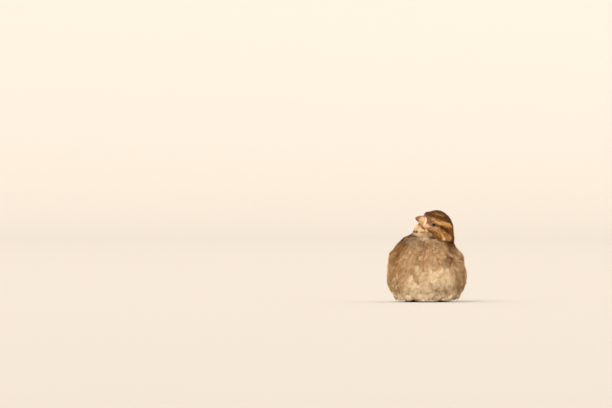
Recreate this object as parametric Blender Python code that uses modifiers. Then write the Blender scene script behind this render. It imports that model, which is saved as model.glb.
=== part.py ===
"""House sparrow at rest with its plumage fluffed up and its head cocked: a life-size still model.

Each named part of the bird is one closed solid, out to the tips of its feathers, and keeps a thin gap to its
neighbours. Frame: metres, +Z up, the floor is Z = 0, the breast faces -Y and the bird's own left is +X.
"""

import math

import bmesh
import bpy
import numpy as np
from mathutils import Matrix, Vector

MM = 0.001
GAP = 0.3 * MM  # clearance kept between neighbouring solids
FAR = 200 * MM  # side of the blocks that part one solid from another

# Plumage-on outline of the trunk, from the belly on the ground up to the base of the neck.
# Columns: height, half width, how far the breast stands forward, how far the back reaches.
TRUNK = MM * np.array([
    (4.0, 0.0, 1.0, 1.0),
    (4.6, 21.0, -18.0, 19.0),
    (8.0, 31.0, -26.5, 29.0),
    (15.0, 35.0, -31.0, 37.0),
    (24.0, 36.5, -33.0, 42.5),
    (33.0, 35.0, -33.5, 41.0),
    (42.0, 31.8, -32.5, 33.5),
    (50.0, 28.0, -29.5, 26.0),
    (57.0, 22.6, -24.5, 17.5),
    (62.0, 14.4, -17.0, 8.5),
    (64.0, 0.0, -5.0, -5.0),
])
TRUNK_EGG = 0.22  # how much fuller the breast is than the rump, seen from above
LEAN = -1.0 * MM  # the shoulders stand this far towards the bird's right
LEAN_FROM, LEAN_TO = 22 * MM, 46 * MM  # between these heights the trunk leans

# The ruff of neck feathers between the trunk and the head. Columns as for the trunk.
NECK = MM * np.array([
    (44.0, 0.0, 1.0, 1.0),
    (47.0, 12.5, -11.0, 15.0),
    (55.0, 16.4, -16.0, 19.0),
    (62.0, 15.4, -16.0, 17.5),
    (69.0, 12.2, -11.0, 13.0),
    (73.0, 0.0, 1.0, 1.0),
])
NECK_X = 9.0 * MM  # the neck rises on the bird's left, because the head is turned right

# The puffed throat under the bill: its middle and its half width, depth and height.
THROAT_AT = MM * np.array((-1.7, -3.6, 65.4))
THROAT = MM * np.array((10.5, 8.6, 7.2))

# The head, in its own axes: forward along the bill, left, up. Columns: forward, half width, crown, throat.
HEAD = MM * np.array([
    (-18.6, 0.0, -2.5, -2.5),
    (-16.2, 7.6, 5.6, -10.6),
    (-9.5, 11.7, 10.4, -14.2),
    (-2.0, 12.1, 12.6, -14.4),
    (4.0, 10.6, 12.2, -13.8),
    (9.0, 8.0, 9.0, -11.0),
    (12.8, 5.2, 4.6, -8.0),
    (14.4, 0.0, -1.0, -1.0),
])
HEAD_EGG = -0.08  # the cheeks are a little fuller than the crown
HEAD_AT = MM * np.array((7.8, -3.0, 72.2))
HEAD_YAW = 36.0  # degrees that the bill comes forward of the bird's right side
HEAD_PITCH = 14.0  # degrees that the bill is lifted
HEAD_ROLL = 28.0  # degrees that the crown is tipped over the left eye

# The bill, in the head's axes. Columns: forward, half width, culmen, underside.
BILL = MM * np.array([
    (8.0, 0.0, -1.2, -1.2),
    (9.5, 4.9, 3.3, -6.0),
    (13.0, 4.4, 3.6, -5.6),
    (16.8, 3.2, 3.0, -4.5),
    (20.6, 1.8, 1.6, -2.7),
    (23.2, 0.0, -0.3, -0.3),
])
GAPE_AT = MM * np.array((11.5, 0.0, -2.5))  # a point on the line where the mandibles meet
GAPE_SLOPE = 3.5  # degrees that this line rises towards the tip

EYE_RADIUS = 3.3 * MM
EYE_AT = MM * np.array((6.2, 0.5))  # how far forward and how high in the head's axes
EYE_SHOWS = 0.35 * MM  # how far the eyeball stands out of the face

# A folded wing. Columns: out from the midline, back, height, half chord, half thickness, and the
# angle in degrees that the chord leans in from upright.
WING = np.array([
    (24.5, -19.5, 41.0, 0.0, 0.0, 4.0),
    (27.4, -15.5, 41.0, 7.6, 3.1, 8.0),
    (29.8, -5.0, 40.4, 11.8, 4.2, 14.0),
    (29.0, 8.0, 38.4, 13.6, 4.3, 22.0),
    (23.0, 24.0, 36.0, 13.0, 3.8, 36.0),
    (13.6, 40.0, 32.0, 8.2, 2.2, 52.0),
    (8.4, 52.0, 29.0, 4.6, 1.3, 60.0),
    (5.6, 61.0, 27.0, 0.0, 0.0, 64.0),
]) * (MM, MM, MM, MM, MM, 1)
WING_BOW = 0.34  # how far the chord's edges curl in over the body, as a share of the half chord

# The feathers over and under the root of the tail: middle, half sizes, and fall in degrees.
VENT_AT = MM * np.array((0.0, 35.0, 27.6))
VENT = MM * np.array((12.5, 24.0, 6.6))
VENT_FALL = 14.0

PLUMAGE_GRAIN = 1.7 * MM  # the finest form kept when head, neck and trunk are run together
PLUMAGE_EASING = 9  # rounds of smoothing where they meet
PLUMAGE_KEPT = 0.18  # share of the faces kept afterwards

# The tail, a closed fan of feathers laid over one another.
TAIL_ROOT = MM * np.array((0.0, 34.0, 31.0))
TAIL_LENGTH = 58 * MM
TAIL_FALL = 15.5  # degrees that the tail slopes down
TAIL_HALF_WIDTH = (6.0 * MM, 12.5 * MM)  # at the root and at the tip
TAIL_THICKNESS = 1.2 * MM
TAIL_ARCH = 1.6 * MM  # the tail's edges lie this far under its middle
TAIL_NOTCH = 3.0 * MM

# A foot. Toes: name, length of the toe, of its claw, radius, and bearing in degrees from straight ahead.
FOOT_X = 12.5 * MM
FOOT_Y = 1.5 * MM
TARSUS_RADIUS = 1.15 * MM
TARSUS_TOP = MM * np.array((-1.0, 3.5, 12.0))  # from the foot's middle up into the belly feathers
TOES = (
    ("inner", 10.0 * MM, 4.4 * MM, 0.95 * MM, 24.0),
    ("middle", 14.0 * MM, 4.8 * MM, 1.0 * MM, -4.0),
    ("outer", 10.5 * MM, 4.4 * MM, 0.95 * MM, -32.0),
    ("hind", 8.5 * MM, 5.6 * MM, 1.05 * MM, 176.0),
)
PAD_RADIUS = 2.1 * MM
SOLE_CUT = 0.35 * MM  # how much of each toe's underside is pressed flat on the ground

COLOURS = {
    # name: (colour, roughness)
    "plumage_breast": ((0.46, 0.30, 0.17), 0.9),
    "plumage_neck": ((0.36, 0.22, 0.12), 0.9),
    "plumage_head": ((0.22, 0.11, 0.05), 0.9),
    "plumage_wing": ((0.26, 0.15, 0.08), 0.85),
    "plumage_tail": ((0.17, 0.11, 0.07), 0.8),
    "bill_horn": ((0.48, 0.29, 0.16), 0.4),
    "eye": ((0.015, 0.008, 0.005), 0.05),
    "leg_skin": ((0.47, 0.27, 0.19), 0.55),
    "claw_horn": ((0.10, 0.06, 0.045), 0.35),
}


# ---- shapes ----


def smooth_rows(rows, at, odd):
    """The rows of a table as a smooth curve, read at each parameter in `at`, which runs from 0 to 1.

    Both ends are poles: past an end the curve goes on down the far side, where the columns listed in
    `odd` change sign, so the shape closes round.
    """
    far_side = np.ones(rows.shape[1])
    far_side[list(odd)] = -1
    padded = np.vstack([rows[1] * far_side, rows, rows[-2] * far_side])
    place = np.clip(at, 0, 1) * (len(rows) - 1)
    first = np.minimum(place.astype(int), len(rows) - 2)
    t = (place - first)[:, None]
    before, start, end, after = (padded[first + k] for k in range(4))
    bend = 2 * before - 5 * start + 4 * end - after
    twist = 3 * (start - end) + after - before
    return start + 0.5 * t * (end - before + t * (bend + t * twist))


def sections(rows, by=0.0):
    """A section table as height, half width, middle and half depth, its surface moved out by this much."""
    height, half_width, front, back = rows.T.copy()
    half_depth = (back - front) / 2
    inner = slice(1, -1)
    half_width[inner] += by
    half_depth[inner] += np.sign(half_depth[inner]) * by
    height[0] -= by
    height[-1] += by
    return np.stack([height, half_width, (front + back) / 2, half_depth], 1)


def primitive_ball(segments, rings):
    """A UV sphere as a bmesh, with each vertex's share of the way from pole to pole and its angle around."""
    ball = bmesh.new()
    bmesh.ops.create_uvsphere(ball, u_segments=segments, v_segments=rings, radius=1.0)
    places = np.array([v.co for v in ball.verts])
    along = 1 - np.arccos(np.clip(places[:, 2], -1, 1)) / math.pi
    around = np.arctan2(places[:, 0], -places[:, 1])
    return ball, along, around


def finish_object(mesh_source, name, colour):
    """Links a bmesh or a mesh as a named object with one material, shaded smooth."""
    if isinstance(mesh_source, bmesh.types.BMesh):
        mesh_source.normal_update()
        bmesh.ops.recalc_face_normals(mesh_source, faces=mesh_source.faces)
        mesh = bpy.data.meshes.new(name)
        mesh_source.to_mesh(mesh)
        mesh_source.free()
    else:
        mesh = mesh_source
    mesh.materials.clear()
    mesh.materials.append(material(colour))
    mesh.shade_smooth()
    mesh.set_sharp_from_angle(angle=math.radians(40))
    thing = bpy.data.objects.new(name, mesh)
    BIRD.objects.link(thing)
    return thing


def material(name):
    found = bpy.data.materials.get(name)
    if found:
        return found
    colour, roughness = COLOURS[name]
    made = bpy.data.materials.new(name)
    made.use_nodes = True
    shader = made.node_tree.nodes["Principled BSDF"]
    shader.inputs["Base Color"].default_value = (*colour, 1)
    shader.inputs["Roughness"].default_value = roughness
    shader.inputs["Metallic"].default_value = 0.0
    return made


def section_form(name, colour, rows, egg, segments, rings):
    """A closed form through egg-shaped sections stacked along its local Z; X is across and Y is deep."""
    ball, along, around = primitive_ball(segments, rings)
    height, half_width, middle, half_depth = smooth_rows(rows, along, (1, 3)).T
    fullness = (1 + egg * np.cos(around)) / math.sqrt(1 + egg * egg)
    across = half_width * np.sin(around) * fullness
    deep = middle - half_depth * np.cos(around)
    for vertex, place in zip(ball.verts, np.stack([across, deep, height], 1)):
        vertex.co = place
    return finish_object(ball, name, colour)


def lean_at(heights):
    """How far the trunk leans sideways at these heights."""
    t = np.clip((heights - LEAN_FROM) / (LEAN_TO - LEAN_FROM), 0, 1)
    return LEAN * t * t * (3 - 2 * t)


def apply_lean(thing):
    for vertex in thing.data.vertices:
        vertex.co.x += float(lean_at(vertex.co.z))


# ---- cutting and joining ----


def combine(thing, other, operation, keep_other=False):
    """Applies a Boolean with another object to this one, and removes the other unless it is kept."""
    modifier = thing.modifiers.new("cut", "BOOLEAN")
    modifier.operation = operation
    modifier.object = other
    modifier.solver = "EXACT"
    bpy.context.view_layer.update()
    graph = bpy.context.evaluated_depsgraph_get()
    mesh = bpy.data.meshes.new_from_object(thing.evaluated_get(graph))
    thing.modifiers.clear()
    thing.data = mesh
    if not keep_other:
        bpy.data.objects.remove(other)
    return thing


def copy_of(thing, name):
    twin = bpy.data.objects.new(name, thing.data.copy())
    twin.matrix_world = thing.matrix_world.copy()
    BIRD.objects.link(twin)
    return twin


def block_beyond(point, normal):
    """A large block that fills the space on the side of a plane that its normal points to."""
    shape = bmesh.new()
    bmesh.ops.create_cube(shape, size=FAR)
    turn = Vector(normal).to_track_quat("Z", "Y").to_matrix().to_4x4()
    ahead = Vector(point) + Vector(normal).normalized() * (FAR / 2)
    bmesh.ops.transform(shape, matrix=Matrix.Translation(ahead) @ turn, verts=shape.verts)
    return finish_object(shape, "block", "claw_horn")


def part_from(whole, name, colour, *planes):
    """The piece of `whole` beyond every one of these (point, normal) planes, less half a gap at each."""
    piece = copy_of(whole, name)
    for point, normal in planes:
        step = Vector(normal).normalized() * (GAP / 2)
        combine(piece, block_beyond(Vector(point) + step, normal), "INTERSECT")
    piece.data.materials.clear()
    piece.data.materials.append(material(colour))
    return piece


# ---- the parts ----


def head_matrix():
    """From the head's axes (X across to its left, Y up as the section's depth, Z forward) to the world."""
    yaw, pitch, roll = (math.radians(a) for a in (HEAD_YAW, HEAD_PITCH, HEAD_ROLL))
    forward = Vector((
        -math.cos(pitch) * math.cos(yaw),
        -math.cos(pitch) * math.sin(yaw),
        math.sin(pitch),
    ))
    left = Vector((math.sin(yaw), -math.cos(yaw), 0))
    up = forward.cross(left)
    left, up = (
        math.cos(roll) * left - math.sin(roll) * up,
        math.sin(roll) * left + math.cos(roll) * up,
    )
    turn = Matrix((left, up, forward)).transposed().to_4x4()
    return Matrix.Translation(Vector(HEAD_AT)) @ turn


def in_head(thing):
    """Carries a form made in the head's axes into place."""
    thing.data.transform(head_matrix())
    return thing


def head_point(forward_left_up):
    forward, left, up = forward_left_up
    return head_matrix() @ Vector((left, up, forward))


def trunk_form(name):
    thing = section_form(name, "plumage_breast", sections(TRUNK), TRUNK_EGG, 44, 26)
    apply_lean(thing)
    return thing


def neck_form(name):
    thing = section_form(name, "plumage_neck", sections(NECK), 0.0, 36, 16)
    thing.data.transform(Matrix.Translation((NECK_X, 0, 0)))
    return thing


def head_form(name):
    return in_head(section_form(name, "plumage_head", sections(HEAD), HEAD_EGG, 36, 24))


def bill_cone(name, by=0.0):
    return in_head(section_form(name, "bill_horn", sections(BILL, by), 0.0, 20, 12))


def ellipsoid(name, colour, middle, half_sizes, fall=0.0):
    shape = bmesh.new()
    bmesh.ops.create_uvsphere(shape, u_segments=24, v_segments=16, radius=1.0)
    tilt = Matrix.Rotation(math.radians(-fall), 4, "X")
    place = Matrix.Translation(Vector(middle)) @ tilt @ Matrix.Diagonal((*half_sizes, 1))
    bmesh.ops.transform(shape, matrix=place, verts=shape.verts)
    return finish_object(shape, name, colour)


def run_together(thing):
    """Turns joined forms into one flowing surface: even cells, then smoothing, then fewer faces."""
    cells = thing.modifiers.new("even_cells", "REMESH")
    cells.mode = "VOXEL"
    cells.voxel_size = PLUMAGE_GRAIN
    easing = thing.modifiers.new("easing", "SMOOTH")
    easing.factor = 0.5
    easing.iterations = PLUMAGE_EASING
    fewer = thing.modifiers.new("fewer_faces", "DECIMATE")
    fewer.ratio = PLUMAGE_KEPT
    bpy.context.view_layer.update()
    graph = bpy.context.evaluated_depsgraph_get()
    mesh = bpy.data.meshes.new_from_object(thing.evaluated_get(graph))
    thing.modifiers.clear()
    thing.data = mesh
    return thing


def grown_copy(thing, by):
    """A cutter with the same form, its surface moved out along its normals."""
    twin = copy_of(thing, "cutter")
    normals = [v.normal.copy() for v in twin.data.vertices]
    for vertex, normal in zip(twin.data.vertices, normals):
        vertex.co += normal * by
    return twin


def eye_middle(whole, side):
    """The middle of an eyeball, set so that it stands out of the face by EYE_SHOWS."""
    forward, up = EYE_AT
    outward = head_matrix().to_3x3() @ Vector((side, 0, 0))
    start = head_point((forward, side * 30 * MM, up))
    hit = whole.ray_cast(start, -outward)[1]
    return hit - outward * (EYE_RADIUS - EYE_SHOWS)


def eye_ball(name, middle, by=0.0):
    shape = bmesh.new()
    bmesh.ops.create_uvsphere(shape, u_segments=16, v_segments=10, radius=EYE_RADIUS + by)
    ball = finish_object(shape, name, "eye")
    ball.location = middle
    return ball


def build_plumage():
    """The feathered head, neck and trunk as one flowing form, which is left whole here."""
    whole = trunk_form("whole")
    combine(whole, neck_form("neck_form"), "UNION")
    combine(whole, ellipsoid("vent_form", "plumage_breast", VENT_AT, VENT, VENT_FALL), "UNION")
    combine(whole, ellipsoid("throat_form", "plumage_head", THROAT_AT, THROAT), "UNION")
    combine(whole, head_form("head_form"), "UNION")
    return run_together(whole)


def part_plumage(whole):
    """Parts the plumage into head, neck and trunk by two planes, with sockets for the eyes and the bill."""
    throat_plane = (MM * np.array((1.0, -17.0, 60.0)), (0.25, -0.10, 1.0))
    shoulder_plane = (MM * np.array((1.0, -20.0, 54.0)), (0.20, 0.06, 1.0))
    down = [-c for c in throat_plane[1]]
    below = [-c for c in shoulder_plane[1]]
    head = part_from(whole, "head", "plumage_head", throat_plane)
    part_from(whole, "neck", "plumage_neck", (throat_plane[0], down), shoulder_plane)
    part_from(whole, "trunk", "plumage_breast", (shoulder_plane[0], below))
    for name, side in SIDES:
        middle = eye_middle(whole, side)
        combine(head, eye_ball("socket", middle, GAP), "DIFFERENCE")
        eye_ball("eye_" + name, middle)
    combine(head, bill_cone("bill_socket", GAP), "DIFFERENCE")


def build_bill():
    """Both mandibles are one cone set into the face, parted along the gape."""
    lift = math.radians(GAPE_SLOPE)
    up_from_gape = Vector((0.0, math.cos(lift), -math.sin(lift)))
    turn = head_matrix().to_3x3()
    cone = bill_cone("bill_form")
    for name, sense in (("bill_upper", 1), ("bill_lower", -1)):
        part_from(cone, name, "bill_horn", (head_point(GAPE_AT), turn @ (sense * up_from_gape)))
    bpy.data.objects.remove(cone)


def wing_form(name, side):
    """A folded wing: a long lens that follows the flank and tapers to the tips of the primaries."""
    ball, along, around = primitive_ball(16, 24)
    out, back, height, chord, thick, roof = smooth_rows(WING, along, (3, 4)).T
    chord, thick = np.maximum(chord, 0), np.maximum(thick, 0)
    roof = np.radians(roof)
    up_chord = chord * np.cos(around)
    outward = thick * np.sin(around) - WING_BOW * np.abs(up_chord) ** 2 / (chord + MM)
    x = out + outward * np.cos(roof) - up_chord * np.sin(roof)
    z = height + outward * np.sin(roof) + up_chord * np.cos(roof)
    x = side * x + lean_at(z)
    for vertex, place in zip(ball.verts, np.stack([x, back, z], 1)):
        vertex.co = place
    return finish_object(ball, name, "plumage_wing")


def build_wings(whole):
    """Each wing is ended on the plumage, which is cut from it with a gap."""
    for name, side in SIDES:
        wing = wing_form("wing_" + name, side)
        combine(wing, grown_copy(whole, GAP), "DIFFERENCE")


def build_tail(whole):
    """The tail is a thin arched fan with a shallow notch, ended under the rump."""
    fan = bmesh.new()
    bmesh.ops.create_grid(fan, x_segments=12, y_segments=6, size=1.0)
    fall = math.radians(TAIL_FALL)
    root_half, tip_half = TAIL_HALF_WIDTH
    for vertex in fan.verts:
        across, along = vertex.co.x, (vertex.co.y + 1) / 2
        corner = 1 - abs(across)
        reach = TAIL_LENGTH - TAIL_NOTCH * corner - 2.5 * MM * abs(across) ** 6
        half = root_half + (tip_half - root_half) * along
        run = along * reach
        vertex.co = (
            across * half,
            TAIL_ROOT[1] + run * math.cos(fall),
            TAIL_ROOT[2] - run * math.sin(fall) - TAIL_ARCH * across * across,
        )
    tail = finish_object(fan, "tail", "plumage_tail")
    wall = tail.modifiers.new("thickness", "SOLIDIFY")
    wall.thickness = TAIL_THICKNESS
    wall.offset = 0
    combine(tail, grown_copy(whole, GAP), "DIFFERENCE")


def tube_mesh(points, radii, name, colour):
    """A bent round tube through these points, its caps welded, as a mesh object."""
    curve = bpy.data.curves.new(name, "CURVE")
    curve.dimensions = "3D"
    curve.bevel_depth = 1.0
    curve.bevel_resolution = 1
    curve.use_fill_caps = True
    spline = curve.splines.new("POLY")
    spline.points.add(len(points) - 1)
    for spot, place, radius in zip(spline.points, points, radii):
        spot.co = (*place, 1)
        spot.radius = radius
    guide = bpy.data.objects.new(name, curve)
    BIRD.objects.link(guide)
    bpy.context.view_layer.update()
    graph = bpy.context.evaluated_depsgraph_get()
    mesh = bpy.data.meshes.new_from_object(guide.evaluated_get(graph))
    bpy.data.objects.remove(guide)
    shape = bmesh.new()
    shape.from_mesh(mesh)
    bmesh.ops.remove_doubles(shape, verts=shape.verts, dist=0.01 * MM)
    return finish_object(shape, name, colour)


def stood_on_ground(thing):
    """Cuts off what lies under the ground, which leaves a flat sole."""
    return combine(thing, block_beyond((0, 0, 0), (0, 0, 1)), "INTERSECT")


def mirrored(thing, name):
    """A copy on the other side of the bird, with its faces turned to face out again."""
    twin = copy_of(thing, name)
    shape = bmesh.new()
    shape.from_mesh(twin.data)
    bmesh.ops.transform(shape, matrix=Matrix.Diagonal((-1, 1, 1, 1)), verts=shape.verts)
    bmesh.ops.reverse_faces(shape, faces=shape.faces)
    shape.to_mesh(twin.data)
    shape.free()
    return twin


def build_legs(whole):
    """Shank, foot and toes as one solid, and a claw for each toe; the right leg mirrors the left."""
    middle = np.array((FOOT_X, FOOT_Y, 0.0))
    top = middle + TARSUS_TOP
    shank_points = [middle + (0, 0, 1.0 * MM), (middle + top) / 2, top]
    leg = tube_mesh(shank_points, [TARSUS_RADIUS * 1.1] + [TARSUS_RADIUS] * 2, "leg_left", "leg_skin")
    pad = bmesh.new()
    bmesh.ops.create_uvsphere(pad, u_segments=12, v_segments=8, radius=PAD_RADIUS)
    squash = Matrix.Translation(middle + (0, 0, 0.9 * MM)) @ Matrix.Diagonal((1, 1.1, 0.62, 1))
    bmesh.ops.transform(pad, matrix=squash, verts=pad.verts)
    combine(leg, finish_object(pad, "pad", "leg_skin"), "UNION")
    for toe, length, claw, radius, bearing in TOES:
        turn = math.radians(bearing)
        ahead = np.array((-math.sin(turn), -math.cos(turn), 0.0))
        rise = radius - SOLE_CUT
        steps = np.linspace(0, 1, 7)
        swell = 1 + 0.12 * np.cos(steps * 3 * 2 * math.pi)  # three pads under each toe
        points = [middle + ahead * (length * s) + (0, 0, rise) for s in steps]
        radii = radius * swell * (1 - 0.22 * steps)
        combine(leg, tube_mesh(points, radii, "toe", "leg_skin"), "UNION")
        bend = np.linspace(0, 1, 6)
        arch = 0.16 * claw * np.sin(math.pi * bend) + rise * (1.1 - bend ** 2)
        hook = [middle + ahead * (length + GAP + claw * b) + (0, 0, z) for b, z in zip(bend, arch)]
        girth = 0.72 * radius * (1 - 0.86 * bend ** 1.3)
        horn = stood_on_ground(tube_mesh(hook, girth, f"claw_left_{toe}", "claw_horn"))
        mirrored(horn, f"claw_right_{toe}")
    stood_on_ground(leg)
    right_leg = mirrored(leg, "leg_right")
    for each in (leg, right_leg):
        combine(each, grown_copy(whole, GAP), "DIFFERENCE")


def stand_over_origin():
    """Parents every part to one empty, and moves it so that the bird's outline, from above, is centred."""
    bpy.context.view_layer.update()
    corners = [thing.matrix_world @ Vector(c) for thing in BIRD.objects for c in thing.bound_box]
    low = [min(c[k] for c in corners) for k in range(3)]
    high = [max(c[k] for c in corners) for k in range(3)]
    stance = bpy.data.objects.new("stance", None)
    for thing in BIRD.objects:
        thing.parent = stance
    BIRD.objects.link(stance)
    stance.location = (-(low[0] + high[0]) / 2, -(low[1] + high[1]) / 2, -low[2])
    print("centred by", [round(c / MM, 3) for c in stance.location], "mm")


SIDES = (("left", 1), ("right", -1))

for old in list(bpy.data.objects):
    bpy.data.objects.remove(old)
BIRD = bpy.data.collections.new("house_sparrow")
bpy.context.scene.collection.children.link(BIRD)

plumage = build_plumage()
part_plumage(plumage)
build_bill()
build_wings(plumage)
build_tail(plumage)
build_legs(plumage)
bpy.data.objects.remove(plumage)
stand_over_origin()
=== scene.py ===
# %% [markdown]
# # A house sparrow with its feathers fluffed up
#
# A small bird that keeps warm raises every feather, until head, neck and trunk flow into one soft ball.
# Its solids are already modelled and packed. This lesson loads them as a frame that never moves, and
# dresses them: a skin under the coat, thousands of feathers, the bill, the eyes, the feet, the wings and
# the tail. All shapes are worked out as whole numpy arrays, in millimetres.

# %% Load the frame
import math

import bpy
import numpy as np
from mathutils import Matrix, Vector
from mathutils.bvhtree import BVHTree
from mathutils.kdtree import KDTree


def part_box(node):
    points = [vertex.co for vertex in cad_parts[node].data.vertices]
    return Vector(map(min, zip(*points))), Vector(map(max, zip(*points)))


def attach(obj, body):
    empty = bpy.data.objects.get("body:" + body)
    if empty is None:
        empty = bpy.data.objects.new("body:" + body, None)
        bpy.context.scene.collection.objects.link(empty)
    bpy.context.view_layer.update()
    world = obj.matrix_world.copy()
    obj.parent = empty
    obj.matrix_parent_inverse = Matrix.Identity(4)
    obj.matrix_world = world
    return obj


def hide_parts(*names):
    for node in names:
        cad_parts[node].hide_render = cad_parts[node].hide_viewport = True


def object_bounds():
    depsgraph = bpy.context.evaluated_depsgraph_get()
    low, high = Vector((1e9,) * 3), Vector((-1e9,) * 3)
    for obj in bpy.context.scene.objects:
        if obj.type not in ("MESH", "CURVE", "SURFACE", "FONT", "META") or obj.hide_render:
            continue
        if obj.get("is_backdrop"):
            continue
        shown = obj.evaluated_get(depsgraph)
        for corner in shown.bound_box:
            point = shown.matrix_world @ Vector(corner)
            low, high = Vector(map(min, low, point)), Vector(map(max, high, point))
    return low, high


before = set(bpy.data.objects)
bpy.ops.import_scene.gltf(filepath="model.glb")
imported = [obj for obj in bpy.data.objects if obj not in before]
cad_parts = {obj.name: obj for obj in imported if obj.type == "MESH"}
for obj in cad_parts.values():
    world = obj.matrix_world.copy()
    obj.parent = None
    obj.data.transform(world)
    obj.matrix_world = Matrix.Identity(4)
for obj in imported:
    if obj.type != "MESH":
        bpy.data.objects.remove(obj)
cad_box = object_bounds()
MM = 0.001  # the scene's metres in one of this lesson's millimetres
SIDES = (("left", 1), ("right", -1))
CENTRED = np.array((0.052, -27.741, 0.0))  # from a place in the bird's own drawing to its place in the frame
STRAIGHT_UP = np.array((0.0, 0.0, 1.0))
print("solids to dress:", len(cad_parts))

# %% [markdown]
# ## Small tools
#
# A few kinds of arithmetic come back everywhere: vectors of length one, soft ramps between two values, smooth
# curves through a short table, and soft noise. Ramps could be straight lines, but a ramp with a flat start
# and end leaves no crease on a round body.

# %% Arithmetic
rng = np.random.default_rng(11)


def unit(vectors):
    """Each vector divided by its own length."""
    return vectors / np.maximum(np.linalg.norm(vectors, axis=-1, keepdims=True), 1e-9)


def ramp(low, high, x):
    """0 below `low`, 1 above `high`, and 3t² - 2t³ between them."""
    t = np.clip((np.asarray(x, float) - low) / (high - low), 0, 1)
    return t * t * (3 - 2 * t)


def bell(x, middle, width):
    """A smooth hump: e to the power of minus the squared distance, in widths."""
    return np.exp(-(((x - middle) / width) ** 2))


def mix(a, b, share):
    """`a` where the share is 0 and `b` where it is 1; colours mix channel by channel."""
    share = np.asarray(share)[..., None]
    return np.asarray(a) * (1 - share) + np.asarray(b) * share


def plain(colour, grid):
    """The same colour for every point of a grid."""
    return np.array(colour) + np.zeros(grid.shape)


def layered(colours, layers):
    """Paints layers of (colour, share) one after another over the colours."""
    for colour, share in layers:
        colours = mix(colours, colour, share)
    return colours


def flattened(vectors, normals):
    """Each vector without the part of it that points along the normal: v - n·(v·n)."""
    return vectors - normals * np.sum(vectors * normals, -1, keepdims=True)


def full_turn(count):
    """The angles of `count` even steps round a ring, as one row."""
    return (np.arange(count) / count * 2 * math.pi)[None, :]


print("a ramp from 0 to 10, read at 3:", round(float(ramp(0, 10, 3)), 3))


# %% Curves and noise
def through(table, at):
    """A Catmull-Rom curve through the rows of a table, read at shares 0 to 1 of the way along it."""
    rows = np.asarray(table, float)
    padded = np.vstack([2 * rows[0] - rows[1], rows, 2 * rows[-1] - rows[-2]])
    place = np.clip(np.asarray(at, float), 0, 1) * (len(rows) - 1)
    first = np.minimum(place.astype(int), len(rows) - 2)
    t = (place - first)[..., None]
    p0, p1, p2, p3 = (padded[first + k] for k in range(4))
    return p1 + 0.5 * t * (p2 - p0 + t * (2 * p0 - 5 * p1 + 4 * p2 - p3 + t * (3 * (p1 - p2) + p3 - p0)))


def ripple(points, size, seed):
    """Smooth noise of about -1 to 1: the mean of seven plane waves of this size in random directions."""
    draw = np.random.default_rng(seed)
    ways = unit(draw.normal(0, 1, (7, 3))) * draw.uniform(0.7, 1.4, (7, 1)) * 2 * math.pi / size
    return np.sin(points @ ways.T + draw.uniform(0, 2 * math.pi, 7)).sum(-1) / 2.6


def patches(points, size, seed, low=0.0, high=0.6):
    """Soft random patches of this size: a ramp over the ripple, 0 between them and 1 in their middles."""
    return ramp(low, high, ripple(points, size, seed))


print("halfway through a curve:", through([(0, 0), (1, 2), (4, 3)], 0.5))

# %% [markdown]
# A surface is a grid of points: rows along it, columns around it. A mesh wants a flat list of points and a
# list of faces that name them, so one function turns the first into the second. It closes the columns into
# a ring and each end into a pole, which gives a shape with no open edge.

# %% From grids to meshes
def pairs(u, v):
    """Map places (u, v) out of two arrays of shares, such as a row and a column."""
    return np.stack(np.broadcast_arrays(u, v), -1)


def closed_surface(grid):
    """Points, faces and the faces' map places, for a grid whose first and last rows are poles.

    Column j of every row joins column j + 1, and the last column joins the first. The map place of a
    corner is (its share of the way around, its share of the way along). Quads come before triangles.
    """
    rows, columns = grid.shape[:2]
    rings = grid[1:-1].reshape(-1, 3)
    points = np.vstack([rings, grid[0].mean(0), grid[-1].mean(0)])
    j = np.arange(columns)
    after = (j + 1) % columns
    row = np.arange(rows - 3)[:, None] * columns
    quads = np.stack([row + j, row + after, row + columns + after, row + columns + j], -1)
    start, end = np.full(columns, len(rings)), np.full(columns, len(rings) + 1)
    last = (rows - 3) * columns
    triangles = [np.stack([start, after, j], -1), np.stack([end, last + j, last + after], -1)]
    u, u_after = j / columns, (j + 1) / columns
    middle = (u + u_after) / 2
    v = (np.arange(rows - 3)[:, None] + 1) / (rows - 1)
    v_after = v + 1 / (rows - 1)
    first, final = 1 / (rows - 1), (rows - 2) / (rows - 1)
    quad_places = np.stack([pairs(u, v), pairs(u_after, v), pairs(u_after, v_after), pairs(u, v_after)], 2)
    triangle_places = np.concatenate([
        np.stack([pairs(middle, 0.0), pairs(u_after, first), pairs(u, first)], 1),
        np.stack([pairs(middle, 1.0), pairs(u, final), pairs(u_after, final)], 1),
    ])
    faces = [quads.reshape(-1, 4), np.vstack(triangles)]
    return points, faces, [quad_places.reshape(-1, 4, 2), triangle_places]


print("a grid of 6 by 8 points has", sum(map(len, closed_surface(np.zeros((6, 8, 3)))[1])), "faces")


# %% From arrays to a mesh
def pole_colours(colours):
    """Colours on a grid, in the order in which closed_surface lists its points."""
    return np.vstack([colours[1:-1].reshape(-1, 3), colours[0].mean(0), colours[-1].mean(0)])


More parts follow.
